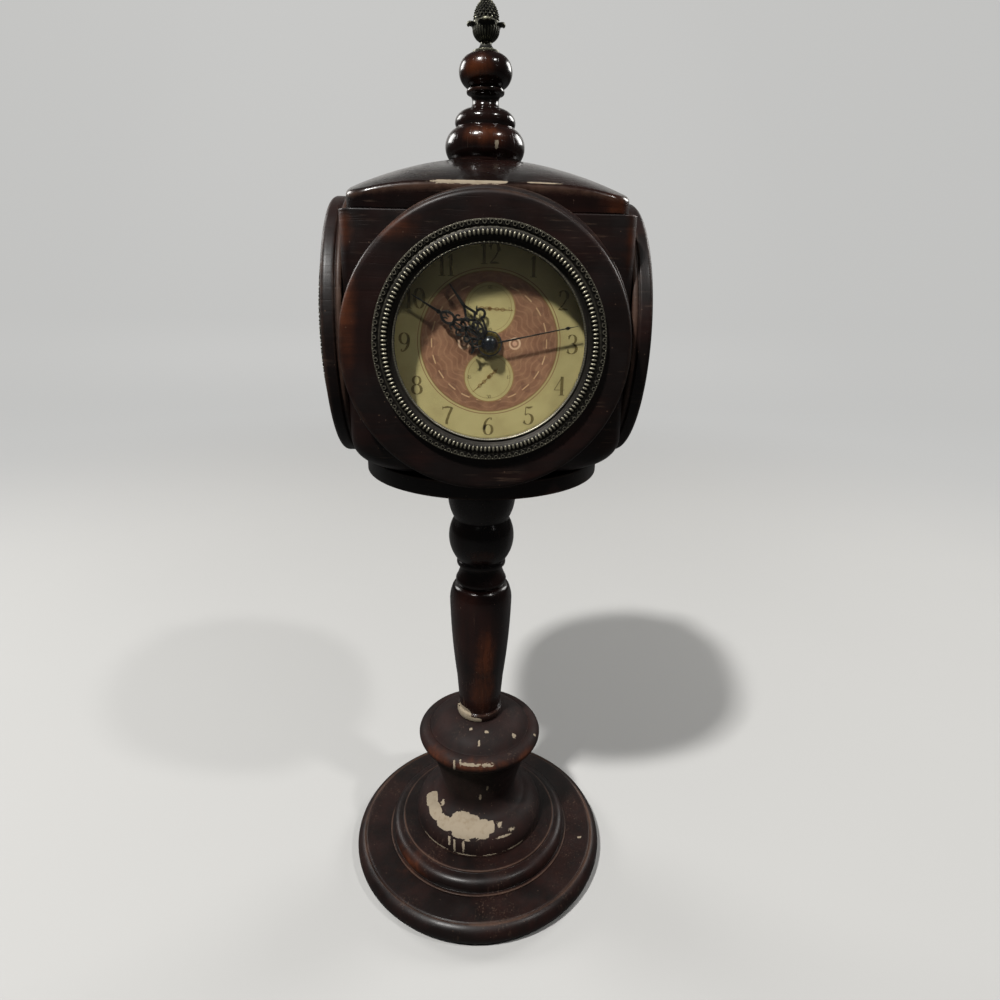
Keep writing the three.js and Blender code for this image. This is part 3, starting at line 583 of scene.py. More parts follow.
def lacquer(name, gloss, coat, reach, red, stretch, rubs_and_glows=(), chips=(), flecks=()):
    """Dark stained wood under lacquer, thin where it was rubbed and off down to the undercoat at chips. On
    the column's front the rubbed tone also paints a warm glow of light.
    """

    def build(graph):
        place = graph.place()
        grain = graph.use(GRAIN, {"Place": place, "Stretch": stretch}, None)
        streak, pore, patch = grain["Streak"], grain["Pore"], grain["Patch"]
        edge = graph.attribute("edge")
        wear = graph.use(WEAR, {"Place": place, "Edge": edge, "Reach": reach}, None)
        # rubbed spots; on the column's lower shaft they also paint a warm glow of light
        rubbed = spots(graph, place, rubs_and_glows, *RUB_AND_GLOW_LOOK)
        thin = graph.math("MULTIPLY", rubbed, graph.ramp(streak, 0.0, 1.0, 0.6, 0.25))
        chipped = spots(graph, place, chips, *CHIP_LOOK)
        flecked = spots(graph, place, flecks, *FLECK_LOOK)
        deep = graph.math("MAXIMUM", wear["Bare"], chipped)
        bare = graph.math("MAXIMUM", deep, flecked)
        share = graph.math("MULTIPLY_ADD", streak, -0.25, graph.math("MULTIPLY_ADD", patch, 0.4, red))
        colour = graph.mix(share, STAIN, STAIN_RED)
        colour = graph.mix(thin, colour, RUB_AND_GLOW_TONE)
        colour = graph.mix(graph.math("MULTIPLY", wear["Rub"], 0.6), colour, SCUFF)
        dusty = graph.ramp(graph.noise(place, 45.0, 3.0), 0.5, 0.72, 0.0, 0.4)
        colour = graph.mix(graph.math("MULTIPLY", pore, dusty), colour, DUST)
        specks = graph.use(SPECKS, {"Place": place})
        colour = graph.mix(graph.math("MULTIPLY", specks, 0.7), colour, DUST)
        soil = graph.ramp(graph.noise(place, 260.0, 4.0), 0.45, 0.85)
        colour = graph.mix(bare, colour, graph.mix(soil, UNDERCOAT, UNDERCOAT_DIRTY))
        haze = graph.ramp(graph.noise(place, 55.0, 4.0), 0.3, 0.75, -0.06, 0.1)
        worn = graph.math("MAXIMUM", wear["Rub"], thin)
        rough = graph.math("ADD", graph.math("MULTIPLY_ADD", worn, 0.14, gloss), haze)
        rough = graph.math("MAXIMUM", rough, graph.math("MULTIPLY", bare, 0.8))
        grit = graph.noise(place, 700.0, 2.0)
        relief = graph.math("MULTIPLY_ADD", streak, 0.08, graph.math("MULTIPLY", grit, 0.1))
        relief = graph.math("SUBTRACT", graph.math("ADD", relief, 0.8), graph.math("MULTIPLY", deep, 0.8))
        relief = graph.math("SUBTRACT", relief, graph.math("MULTIPLY", pore, 0.1))
        return {
            "Base Color": colour,
            "Roughness": rough,
            "Coat Weight": graph.math("MULTIPLY_ADD", bare, -coat, coat),
            "Normal": bump(graph, relief, LACQUER_RELIEF),
        }

    return finish(name, build, coat_roughness=gloss * 0.6, coat_ior=1.5, ior=1.28)


# Marks on the lacquer: centre and half-sizes
BELL_CHIPS = (
    ((-35.3, -9.0, 46.7), (4.4, 6.0, 2.2)),
    ((-32.4, -20.0, 45.7), (5.0, 7.5, 1.9)),
    ((-25.5, -30.0, 44.9), (5.8, 7.0, 2.4)),
    ((-11.0, -34.0, 46.0), (10.4, 10.0, 4.7)),
    ((1.5, -37.5, 45.6), (4.0, 7.5, 3.0)),
    ((6.6, -36.5, 46.2), (2.8, 5.0, 1.6)),
)
BELL_FLECKS = (
    ((13.4, -35.3, 46.6), (2.0, 2.0, 1.8)),
    ((-22.3, -40.0, 38.4), (0.8, 2.0, 3.2)),
    ((-18.8, -42.5, 35.4), (0.8, 2.0, 5.2)),
    ((-12.5, -44.0, 38.0), (0.8, 2.5, 4.6)),
    ((-27.3, -15.6, 49.6), (1.6, 2.0, 1.8)),
    ((22.0, -37.6, 43.4), (2.0, 2.2, 0.9)),
    ((16.0, -41.0, 41.6), (7.0, 2.2, 0.6)),
    ((-32.0, -33.0, 30.4), (10.0, 14.0, 0.6)),
    ((-10.0, -45.0, 30.3), (7.0, 4.0, 0.5)),
    ((7.0, -45.5, 30.3), (5.0, 3.0, 0.5)),
    ((25.0, -38.5, 30.5), (8.0, 6.0, 0.6)),
    ((-18.5, -38.8, 103.4), (0.8, 1.8, 4.4)),
    ((-14.5, -40.0, 107.0), (0.7, 1.8, 2.4)),
    ((-8.5, -41.4, 105.5), (8.5, 2.0, 0.8)),
    ((3.5, -42.2, 105.4), (4.0, 1.6, 1.1)),
    ((-1.5, -30.1, 113.4), (0.8, 2.0, 1.4)),
    ((-6.8, -20.6, 117.9), (1.0, 1.0, 0.8)),
    ((4.0, -23.2, 117.1), (1.2, 0.8, 0.8)),
    ((4.6, -30.5, 75.1), (0.8, 1.4, 2.6)),
    ((-0.2, -28.3, 65.2), (0.9, 1.4, 3.4)),
    ((23.3, -21.7, 111.9), (1.4, 1.4, 1.4)),
    ((38.9, -14.5, 106.4), (1.1, 1.1, 1.1)),
)
BELL_RUBS = (
    ((-29.0, -31.0, 103.0), (13.0, 13.0, 6.0)),
    ((30.0, -31.0, 102.0), (13.0, 13.0, 5.0)),
    ((0.0, -40.0, 104.0), (26.0, 10.0, 4.0)),
)
PLINTH_FLECKS = (((75.4, -20.9, 16.1), (1.4, 1.0, 1.0)),)
PLINTH_RUBS = (((-50.0, -42.0, 22.0), (20.0, 20.0, 6.0)),)
COLUMN_CHIPS = (
    ((-12.0, -8.0, 121.8), (5.5, 7.5, 3.2)),
    ((-5.0, -14.0, 121.0), (5.0, 4.0, 2.2)),
    ((-11.0, -8.0, 125.5), (3.6, 7.0, 2.0)),
)
# rubbed patches on the column's front; the lower two also paint the warm glow where light falls on the shaft
COLUMN_RUBS_AND_GLOW = (
    ((2.0, -16.6, 146.0), (10.0, 8.0, 20.0)),
    ((3.0, -18.0, 172.0), (8.0, 7.0, 26.0)),
    ((1.0, -20.0, 248.0), (12.0, 9.0, 6.0)),
)
HEAD_RUBS = (
    ((68.0, -66.0, 434.0), (7.0, 7.0, 18.0)),
    ((-68.0, -66.0, 436.0), (7.0, 7.0, 10.0)),
)
RING_RUBS = (
    ((-67.0, -78.0, 404.0), (6.0, 12.0, 40.0)),
    ((-50.0, -81.0, 438.0), (20.0, 6.0, 8.0)),
)
ROOF_CHIPS = (
    ((-9.5, -66.5, 457.2), (17.0, 1.5, 0.8)),
    ((0.0, -66.3, 457.6), (8.5, 1.5, 0.7)),
    ((25.0, -66.0, 457.5), (9.0, 1.2, 0.5)),
)
ROOF_FLECKS = (((-12.0, -66.6, 456.6), (16.0, 1.8, 0.8)),)
ROOF_RUBS = (((60.0, -63.0, 449.0), (12.0, 10.0, 6.0)),)
FINIAL_FLECKS = (((5.1, -20.2, 479.4), (0.9, 1.8, 1.9)),)
FINIAL_RUBS = (
    ((-5.0, -12.0, 515.0), (10.0, 8.0, 8.0)),
    ((-2.0, -19.0, 484.0), (12.0, 7.0, 6.0)),
)

PLINTH_LACQUER = lacquer("lacquered plinth", 0.44, 0.08, 0.3, 0.1, UPRIGHT, PLINTH_RUBS, (), PLINTH_FLECKS)
BELL_LACQUER = lacquer("lacquered bell", 0.72, 0.04, 0.3, 0.3, UPRIGHT, BELL_RUBS, BELL_CHIPS, BELL_FLECKS)
COLUMN_LACQUER = lacquer("lacquered column", 0.22, 0.3, 0.1, 0.2, UPRIGHT, COLUMN_RUBS_AND_GLOW, COLUMN_CHIPS)
HEAD_LACQUER = lacquer("lacquered head", 0.42, 0.12, 0.2, 0.08, LEVEL, HEAD_RUBS)
RING_LACQUER = lacquer("lacquered rings", 0.48, 0.06, 0.35, 0.1, LEVEL, RING_RUBS)
ROOF_LACQUER = lacquer("lacquered roof", 0.22, 0.3, 0.2, 0.05, ALONG_X, ROOF_RUBS, ROOF_CHIPS, ROOF_FLECKS)
FINIAL_LACQUER = lacquer("lacquered finial", 0.18, 0.4, 0.05, 0.25, UPRIGHT, FINIAL_RUBS, (), FINIAL_FLECKS)


def build_bronze(dark, pale):
    """Antique bronze: black in its hollows, pale where hands and cloths have rubbed the high places."""

    def build(graph):
        place = graph.place()
        cloud = graph.noise(place, 240.0, 3.0)
        rubbed = graph.ramp(graph.math("MULTIPLY_ADD", cloud, 0.5, graph.attribute("edge")), 0.35, 1.15)
        colour = graph.mix(rubbed, dark, pale)
        colour = graph.mix(graph.ramp(graph.attribute("hollow"), 0.1, 0.9), colour, tone(20, 18, 15))
        return {
            "Base Color": colour,
            "Roughness": graph.ramp(rubbed, 0.0, 1.0, 0.55, 0.38),
            "Normal": bump(graph, graph.noise(place, 1500.0, 2.0), 0.00006),
        }

    return build


def mottled(scale, detail, low, high, first, second, smooth, rough, grit=None):
    """Two tones mixed by one noise, which also roughens them. grit is a fine relief's scale and depth."""

    def build(graph):
        place = graph.place()
        cloud = graph.noise(place, scale, detail)
        look = {
            "Base Color": graph.mix(graph.ramp(cloud, low, high), tone(*first), tone(*second)),
            "Roughness": graph.ramp(cloud, 0.3, 0.8, smooth, rough),
        }
        if grit:
            look["Normal"] = bump(graph, graph.noise(place, grit[0], 2.0), grit[1])
        return look

    return build


def build_plastic(graph):
    place = graph.place()
    return {
        "Base Color": graph.mix(graph.noise(place, 90.0), tone(26, 26, 28), tone(40, 40, 42)),
        "Roughness": graph.ramp(graph.noise(place, 160.0), 0.3, 0.7, 0.5, 0.65),
        "Normal": bump(graph, graph.noise(place, 2600.0, 3.0), 0.00008),
    }


def build_nylon(graph):
    place = graph.place()
    return {
        "Base Color": graph.mix(graph.noise(place, 120.0), tone(226, 222, 208), tone(198, 190, 168)),
        "Roughness": graph.ramp(graph.noise(place, 300.0), 0.3, 0.7, 0.4, 0.6),
    }


def build_felt(graph):
    place = graph.place()
    fibre = graph.noise(place, 1800.0, 4.0, 0.7)
    return {
        "Base Color": graph.mix(fibre, tone(22, 44, 32), tone(52, 82, 62)),
        "Roughness": graph.ramp(fibre, 0.2, 0.8, 0.85, 1.0),
        "Normal": bump(graph, fibre, 0.0004),
    }


def build_jacket(graph):
    """Foil jacket of a cell: a copper-coloured end and a black body, parted by the edge value."""
    place = graph.place()
    scuff = graph.noise(place, 400.0, 4.0)
    colour = graph.mix(graph.attribute("edge"), tone(28, 27, 28), tone(190, 122, 62))
    return {
        "Base Color": graph.mix(graph.ramp(scuff, 0.55, 0.8), colour, tone(120, 112, 100)),
        "Roughness": graph.ramp(scuff, 0.3, 0.8, 0.25, 0.45),
    }


BRONZE = finish("antique bronze", build_bronze(tone(42, 39, 35), tone(138, 134, 117)), metallic=0.7)
GREEN_BRONZE = finish("greenish bronze", build_bronze(tone(26, 27, 22), tone(104, 103, 88)), metallic=0.7)
BRASS = finish(
    "dull brass",
    mottled(500.0, 4.0, 0.35, 0.7, (150, 132, 78), (88, 74, 42), 0.28, 0.5, (2400.0, 0.00003)),
    metallic=1.0,
)
BLACK_METAL = finish(
    "black hands",
    mottled(700.0, 3.0, 0.4, 0.75, (14, 12, 11), (30, 26, 22), 0.4, 0.6, (3000.0, 0.00002)),
    metallic=0.3,
)
CAP_METAL = finish(
    "blue-black cap",
    mottled(260.0, 2.0, 0.4, 0.7, (15, 17, 23), (22, 25, 33), 0.26, 0.36),
    metallic=0.4,
    coat_weight=0.5,
)
STEEL = finish(
    "zinc steel",
    mottled(300.0, 4.0, 0.4, 0.7, (176, 178, 178), (132, 130, 124), 0.3, 0.5, (2000.0, 0.00004)),
    metallic=1.0,
)
INK = finish("olive ink", mottled(2600.0, 3.0, 0.45, 0.75, (100, 84, 44), (134, 115, 68), 0.55, 0.7))
TAN_INK = finish("tan ink", mottled(2600.0, 3.0, 0.45, 0.75, (126, 92, 48), (160, 128, 76), 0.55, 0.7))
BLACK_PLASTIC = finish("black plastic", build_plastic)
NYLON = finish("nylon", build_nylon)
FELT = finish("pressed felt", build_felt)
JACKET = finish("cell jacket", build_jacket, metallic=0.5)


def glass_finish():
    """Clear glass that lets light through to the dial: shadow and diffuse rays meet only a faint tint."""
    material = finish(
        "clear glass",
        lambda graph: {"Roughness": graph.ramp(graph.noise(graph.place(), 60.0, 4.0), 0.4, 0.9, 0.0, 0.05)},
        base_color=(0.97, 0.985, 0.97, 1.0),
        transmission_weight=1.0,
        ior=1.45,
    )
    graph = Graph(material.node_tree)
    shader = material.node_tree.nodes["Principled BSDF"].outputs[0]
    clear = graph.add("BsdfTransparent", {"Color": (0.93, 0.95, 0.93, 1.0)}).outputs[0]
    rays = graph.add("LightPath").outputs
    passed = graph.math("MAXIMUM", rays["Is Shadow Ray"], rays["Is Diffuse Ray"])
    mixed = graph.add("MixShader", {0: passed, 1: shader, 2: clear}).outputs[0]
    graph.put(material.node_tree.nodes["Material Output"].inputs["Surface"], mixed)
    return material


GLASS = glass_finish()

# Dial print, in shares of the radius that shows
FIELD_RADIUS = 0.736
SUBDIAL_RISE = 0.36
SUBDIAL_RADIUS = 0.27
SCREW_PLACE = 0.275
SCREW_RADIUS = 0.055
TRACK_RADIUS = 1.035


def build_dial(graph):
    """Aged cream paper with a red-brown field, two small dials, two screw heads and a minute track.

    The field has waved lines about the centre and a wreath of leaves, lighter than the ground.
    """
    spot = graph.attribute("place", "Vector")
    x, y, _ = graph.add("SeparateXYZ", {0: spot}).outputs
    radius = graph.vector("LENGTH", spot)
    angle = graph.math("ARCTAN2", y, x)

    def away(centre_x, centre_y):
        return graph.vector("LENGTH", graph.vector("SUBTRACT", spot, (centre_x, centre_y, 0.0)))

    def within(distance, limit, blur=0.006):
        return graph.ramp(distance, limit + blur, limit - blur)

    def line(distance, at, half):
        gap = graph.math("ABSOLUTE", graph.math("SUBTRACT", distance, at))
        return graph.ramp(gap, half * 1.6, half * 0.6)

    age = graph.ramp(graph.noise(spot, 2.2, 4.0), 0.3, 0.75)
    speck = graph.ramp(graph.noise(spot, 60.0, 4.0, 0.7), 0.5, 0.85)
    cream = graph.mix(age, tone(192, 176, 124), tone(174, 156, 106))
    cream = graph.mix(graph.math("MULTIPLY", speck, 0.35), cream, tone(150, 134, 84))

    cloud = graph.ramp(graph.noise(spot, 4.5, 4.0), 0.32, 0.7)
    field = graph.mix(cloud, tone(128, 86, 64), tone(150, 106, 80))
    wave = graph.math("MULTIPLY_ADD", graph.math("COSINE", graph.math("MULTIPLY", angle, 14.0)), 2.2,
                      graph.math("MULTIPLY", radius, 96.0))
    waves = graph.ramp(graph.math("SINE", wave), 0.35, 1.0)
    field = graph.mix(graph.math("MULTIPLY", waves, 0.3), field, tone(180, 140, 108))
    bend = graph.math("COSINE", graph.math("MULTIPLY", angle, 22.0))
    leaf_gap = graph.math("ABSOLUTE", graph.math("SUBTRACT", radius, 0.62))
    leaf = graph.ramp(graph.math("MULTIPLY_ADD", leaf_gap, -16.0, bend), -0.35, -0.05)
    field = graph.mix(graph.math("MULTIPLY", leaf, 0.4), field, tone(104, 66, 50))
    leaf_rib = graph.math("MULTIPLY", line(radius, 0.62, 0.006), leaf)
    field = graph.mix(leaf_rib, field, tone(206, 168, 128))
    fade = graph.ramp(graph.noise(spot, 9.0, 3.0), 0.45, 0.75)
    field = graph.mix(graph.math("MULTIPLY", fade, 0.35), field, tone(164, 122, 92))

    colour = graph.mix(within(radius, FIELD_RADIUS), cream, field)
    for at, half in ((FIELD_RADIUS, 0.007), (FIELD_RADIUS + 0.032, 0.004)):
        colour = graph.mix(line(radius, at, half), colour, tone(136, 100, 64))
    for side in (-1, 1):
        near = away(side * SCREW_PLACE, 0.0)
        colour = graph.mix(line(near, SCREW_RADIUS, 0.009), colour, tone(214, 176, 146))
        colour = graph.mix(within(near, SCREW_RADIUS * 0.45), colour, tone(206, 160, 134))
    for side in (-1, 1):
        near = away(0.0, side * SUBDIAL_RISE)
        colour = graph.mix(within(near, SUBDIAL_RADIUS), colour, cream)
        colour = graph.mix(line(near, SUBDIAL_RADIUS, 0.006), colour, tone(150, 116, 74))
        colour = graph.mix(line(near, SUBDIAL_RADIUS * 0.86, 0.0025), colour, tone(150, 128, 78))
    minute = graph.math("COSINE", graph.math("MULTIPLY", angle, 60.0))
    ticks = graph.math("MULTIPLY", graph.ramp(minute, 0.86, 0.94), line(radius, TRACK_RADIUS + 0.012, 0.012))
    track = graph.math("MAXIMUM", ticks, line(radius, TRACK_RADIUS, 0.003))
    colour = graph.mix(graph.math("MULTIPLY", track, 0.4), colour, tone(110, 96, 60))
    return {
        "Base Color": colour,
        "Roughness": graph.ramp(age, 0.0, 1.0, 0.5, 0.65),
        "Normal": bump(graph, graph.noise(spot, 260.0, 3.0), 0.00003),
    }


DIAL_PRINT = finish("printed dial", build_dial)


# Pedestal


def plinth_outline():
    """A round bead on a flat foot, with a fine groove inside it."""
    outline = Outline(78.0).across(88.5).up(14.3, 86.3, 4.6)
    rim, top = outline.last
    return outline.to(rim - 0.55, top - 0.9).to(rim - 1.1, top).across(58.0)


def step_outline():
    """A quirk, a flattened bead and a low lip."""
    outline = Outline(56.0).across(67.2).up(0.9).across(64.6).up(9.4, 59.5, 3.2)
    return outline.across(57.2).up(1.4).across(42.0)


def bell_outline():
    """A domed foot that coves in to a neck, and a cup that flares to a rounded flange."""
    outline = Outline(38.0).across(46.3).up(3.5).up(15.5, 34.0, 4.4).up(11.0, 27.0, -2.0).up(38.0, 38.6, -1.2)
    outline.up(0.6, 40.4).up(6.0, 43.7, 0.9).up(5.0, 36.0, 1.7)
    rim, top = outline.last
    return outline.to(rim - 0.4, top - 0.6).to(rim - 0.8, top).up(11.0, 16.5, 2.4).across(12.0)


def column_outline(shaft):
    """Foot ring, long shaft with its belly at the top, ring, cone, ledge, ball, half bulge and capital."""
    outline = Outline(10.0).across(15.5).up(5.5, 15.5, 0.6).across(14.2).up(25.0, 16.2).up(shaft, 20.8, 0.8)
    outline.up(9.4, 19.3, 0.5).up(3.6, 15.2, 1.0).up(4.2, 16.5, 0.8).up(9.6, 13.4, -0.5)
    outline.across(15.7).up(3.6, 15.7, 0.4).across(15.2).up(29.6, 17.6, 4.7).up(27.0, 19.0, 3.2)
    return outline.across(24.0).up(6.6, 24.0, 0.8).across(16.0)


def make_pedestal():
    """Plinth, step, bell and column, with the felt below and the washer on top."""
    plinth = turned(plinth_outline(), WIDE_SIDES, (BORE_RADIUS, 14.3), (BORE_RADIUS, 8.5),
                    (NUT_POCKET_RADIUS, 8.5), (NUT_POCKET_RADIUS, 0.0))
    stand("plinth_turning", plinth, PLINTH_LACQUER, "base", "lacquered_wood", "base_plinth")
    step = turned(step_outline(), WIDE_SIDES, (BORE_RADIUS, 11.7), (BORE_RADIUS, 0.0))
    stand("step_turning", step, PLINTH_LACQUER, "base", "lacquered_wood", "base_step")
    top = height("pedestal_bell")
    bell = turned(bell_outline(), WIDE_SIDES, (BORE_RADIUS, top), (BORE_RADIUS, 0.0))
    stand("bell_turning", bell, BELL_LACQUER, "base", "lacquered_wood", "pedestal_bell")
    top = height("column")
    shaft = top - np.concatenate(column_outline(0.0).legs)[:, 1].max()
    column = turned(column_outline(shaft), SLIM_SIDES, (BORE_RADIUS, top), (BORE_RADIUS, 0.0))
    stand("column_turning", column, COLUMN_LACQUER, "base", "lacquered_wood", "column")
    pad = Outline(60.0, 0.0).across(84.0).up(1.5).across(60.0)
    felt = turned(pad, WIDE_SIDES, (0.0, 1.5), (0.0, 0.0), ease=0.25)
    piece("felt_disc", [felt], FELT, "base", "felt", "felt_pad")
    ring = turned(Outline(12.0).across(21.0).up(1.2).across(12.0), SLIM_SIDES, (BORE_RADIUS, 1.2),
                  (BORE_RADIUS, 0.0), ease=0.15)
    stand("washer_ring", ring, NYLON, "base", "nylon", "thrust_washer")


# Tie rod, nuts and stud

THREAD_PITCH = 1.25
THREAD_DEPTH = 0.35
THREAD_LENGTH = 22.0


def threaded(radius, length, sides=28):
    """A rod with ridges at each end: its radius dips by a triangle wave, once in each pitch."""
    ridges = np.arange(0, THREAD_LENGTH, THREAD_PITCH / 2)
    dip = THREAD_DEPTH * (np.arange(len(ridges)) % 2)
    rise = np.concatenate([[0.0], ridges, length - ridges[::-1], [length]])
    reach = np.concatenate([[0.0], radius - dip, radius - dip[::-1], [0.0]])
    return sheet(spun(reach, rise, sides), wrap_rows=False)


def hex_nut(corner, tall, bore, sides=72):
    """A nut: six flats, with its corners turned off at both ends where a cone passes inside them."""
    angle = circle(sides)
    sector = np.mod(angle + np.pi / 6, np.pi / 3) - np.pi / 6
    flats = corner * math.cos(math.pi / 6) / np.cos(sector)
    rise = np.array([0.0, 0.5, 1.0, tall - 1.0, tall - 0.5, tall])
    cone = corner - np.array([1.1, 0.5, 0.0, 0.0, 0.5, 1.1])
    radius = np.minimum(flats[None, :], cone[:, None])
    inner = spun([bore, bore], [tall, 0.0], sides)
    return sheet(np.concatenate([round_grid(radius, angle, rise[:, None]), inner]))


def make_hardware():
    """The tie rod, its two nuts and the finial's stud."""
    rod = threaded(4.0, height("tie_rod"))
    stand("threaded_rod", rod, STEEL, "base", "steel", "tie_rod")
    for node in ("base_nut", "lock_nut"):
        stand(node + "_hexagon", hex_nut(7.5, height(node), 4.3), STEEL, "base", "steel", node)
    stand("finial_screw", threaded(2.0, height("finial_stud"), 20), STEEL, "lid", "steel", "finial_stud")


# Head

SIDE_STATIONS = np.linspace(-1, 1, 21)
CORNER_ANGLES = np.linspace(0, np.pi / 2, 12)[1:-1]


def square_loops(half, corner):
    """Rounded squares, one for each row: flats of four sides with quarter circles between them.

    On a flat, stations up to half way lie inside the movement's pocket and the rest reach to the corner.
    """
    half = np.asarray(half, float)[:, None]
    corner = np.asarray(corner, float)[:, None]
    flat = half - corner
    share = np.abs(SIDE_STATIONS)
    beyond = POCKET_HALF + (2 * share - 1) * (flat - POCKET_HALF)
    wide = np.where(share <= 0.5, 2 * share * POCKET_HALF, beyond)
    reach = np.sign(SIDE_STATIONS) * np.where(flat > POCKET_HALF, wide, share * flat)
    out = np.concatenate([half + 0 * reach, flat + corner * np.cos(CORNER_ANGLES)], 1)
    along = np.concatenate([reach, flat + corner * np.sin(CORNER_ANGLES)], 1)
    sides = []
    for k in range(4):
        cosine, sine = quarter(k)
        sides.append(np.stack([cosine * out - sine * along, sine * out + cosine * along], -1))
    return np.concatenate(sides, 1)


def loop_grid(half, corner, rise):
    plane = square_loops(half, corner)
    rise = np.broadcast_to(np.asarray(rise, float)[:, None, None], plane.shape[:2] + (1,))
    return np.concatenate([plane, rise], 2)


def case_shell():
    """The case as one wall: up its outside, over the rim, down its inside and across its floor.

    The lower edge is a quarter round, and the upright corners swell below it. A square pocket for a
    movement is left open through each side, and four strips line it.
    """
    tall = height("case_floor") + 0.3 + height("front_wall")
    low = AXIS - POCKET_HALF - level("case_floor")
    high = low + 2 * POCKET_HALF
    lower = np.linspace(-np.pi / 2, 0, 20)
    upper = np.linspace(0, np.pi / 2, 8)
    under = CASE_HALF - CASE_LOWER_ROUND
    crown = CASE_HALF - CASE_UPPER_ROUND
    lower_rise = CASE_LOWER_ROUND * (1 + np.sin(lower))
    flat_rise = np.array([low, (low + high) / 2, high])
    half = np.concatenate([
        [BORE_RADIUS], under + CASE_LOWER_ROUND * np.cos(lower), [CASE_HALF] * 3,
        crown + CASE_UPPER_ROUND * np.cos(upper), [INNER_HALF + 0.5, INNER_HALF], [INNER_HALF] * 4,
        [NUT_POCKET_RADIUS] * 2, [BORE_RADIUS],
    ])
    floor = height("case_floor")
    pocket_floor = floor - 14.0
    rise = np.concatenate([
        [0.0], lower_rise, flat_rise, tall - CASE_UPPER_ROUND * (1 - np.sin(upper)), [tall, tall - 0.5],
        flat_rise[::-1], [floor], [floor, pocket_floor], [pocket_floor],
    ])
    swell = CASE_CORNER + CORNER_SWELL * (1 - lower_rise / CASE_LOWER_ROUND) ** 1.5
    corner = np.concatenate([
        [BORE_RADIUS], swell, [CASE_CORNER] * 3, [CASE_CORNER] * len(upper), [2.0] * 6,
        [NUT_POCKET_RADIUS] * 2, [BORE_RADIUS],
    ])
    edge = np.zeros(len(half))
    edge[1 + len(lower) + 3:1 + len(lower) + 3 + len(upper)] = 0.1
    shell = sheet(loop_grid(half, corner, rise), edge[:, None])
    columns = 4 * (len(SIDE_STATIONS) + len(CORNER_ANGLES))
    outer_row = 1 + len(lower)
    inner_row = outer_row + 3 + len(upper) + 2
    row, column = np.divmod(np.arange(len(shell["quads"])), columns)
    in_row = np.isin(row, [outer_row, outer_row + 1, inner_row, inner_row + 1])
    station = column % (columns // 4)
    in_column = (station >= 5) & (station < 15)
    shell["quads"] = shell["quads"][~(in_row & in_column)]
    shells = [shell]
    for k in range(4):
        first = k * (columns // 4) + 5
        across = np.arange(first, first + 11)
        path = [(0, c) for c in across] + [(1, across[-1]), (2, across[-1])]
        path += [(2, c) for c in across[-2::-1]] + [(1, across[0])]
        outer = [(outer_row + r) * columns + c for r, c in path]
        inner = [(inner_row + 2 - r) * columns + c for r, c in path]
        shells.append(sheet(shell["points"][np.array([outer, inner])], wrap_rows=False))
    return [moved(part, (0, 0, level("case_floor"))) for part in shells]


def squarish(plane):
    """Distance from the middle whose level lines are squarish: x and y each to the fourth power."""
    return (np.abs(plane) ** ROOF_SQUARENESS).sum(-1) ** (1 / ROOF_SQUARENESS)


def roof_shell():
    """A shallow squarish dome cut to a rounded square, with an eased edge, upright sides and a plug below."""
    rise = height("roof") - ROOF_PLUG_DEPTH
    rim = square_loops([ROOF_HALF], [ROOF_CORNER])[0]
    slope = Outline(squarish(rim).max(), ROOF_CORNER_EDGE).up(rise - ROOF_CORNER_EDGE, ROOF_SEAT, ROOF_BOW)
    slope = np.concatenate(slope.legs)[::-1]
    inset = np.concatenate([np.linspace(ROOF_HALF, 6.0, 26), np.array([4.4, 3.2, 2.4])])
    inset = np.concatenate([inset, ROOF_EASE * (1 - np.sin(np.linspace(0, np.pi / 2, 8)))])
    plane = rim[None] * (1 - inset / ROOF_HALF)[:, None, None]
    ease = ROOF_EASE - np.sqrt(np.maximum(ROOF_EASE**2 - np.maximum(ROOF_EASE - inset, 0) ** 2, 0))
    top = np.interp(squarish(plane), slope[:, 0], slope[:, 1]) - ease[:, None]
    upper = np.concatenate([plane, top[:, :, None]], 2)
    side = np.repeat(rim[None], 3, 0)
    share = np.array([0.66, 0.33, 0.0])[:, None, None]
    sides = np.concatenate([side, top[-1][None, :, None] * share + 0.4 * (1 - share)], 2)
    under = loop_grid([ROOF_HALF - 0.4, 59.2, 59.2, 58.2, 0.01], [ROOF_CORNER, 1.0, 1.0, 1.0, 0.005],
                      [0.0, 0.0, 0.8 - ROOF_PLUG_DEPTH, -ROOF_PLUG_DEPTH, -ROOF_PLUG_DEPTH])
    edge = np.concatenate([np.exp(-inset / 1.6), [0.45, 0.05, 0.5], [0.3, 0, 0, 0, 0]])
    shell = sheet(np.concatenate([upper, sides, under]), edge[:, None], wrap_rows=False)
    return moved(shell, (0, 0, level("roof") + ROOF_PLUG_DEPTH))


def finial_outline():
    """Foot, bulge, bead, sloped shoulder, cove, ring and ball."""
    outline = Outline(12.0).across(19.0).up(1.6).up(15.6, 15.3, 4.1).up(6.2, 14.6, 1.2).up(2.8, 8.6, 0.7)
    outline.up(6.8, 8.6, -1.7).across(9.6).up(2.6, 9.6, 0.5).across(9.0).up(15.8, 7.4, 5.8)
    return outline.across(4.0)


def make_head():
    """Turntable, case, roof and wooden finial."""
    rim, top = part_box("turntable_plate")[1].x / MM, height("turntable_plate")
    plate = Outline(50.0).across(rim).up(top).across(50.0)
    disc = turned(plate, WIDE_SIDES, (BORE_RADIUS, top), (BORE_RADIUS, 0.0))
    stand("turntable_disc", disc, HEAD_LACQUER, "head", "lacquered_wood", "turntable_plate")
    walls = [name + "_wall" for name in FACES]
    piece("case_shell", case_shell(), HEAD_LACQUER, "head", "lacquered_wood", "case_floor", *walls)
    piece("roof_cap", [roof_shell()], ROOF_LACQUER, "lid", "lacquered_wood", "roof")
    top = height("wood_finial")
    finial = turned(finial_outline(), SLIM_SIDES, (2.3, top), (2.3, 0.0))
    stand("finial_turning", finial, FINIAL_LACQUER, "lid", "lacquered_wood", "wood_finial")


# Acorn

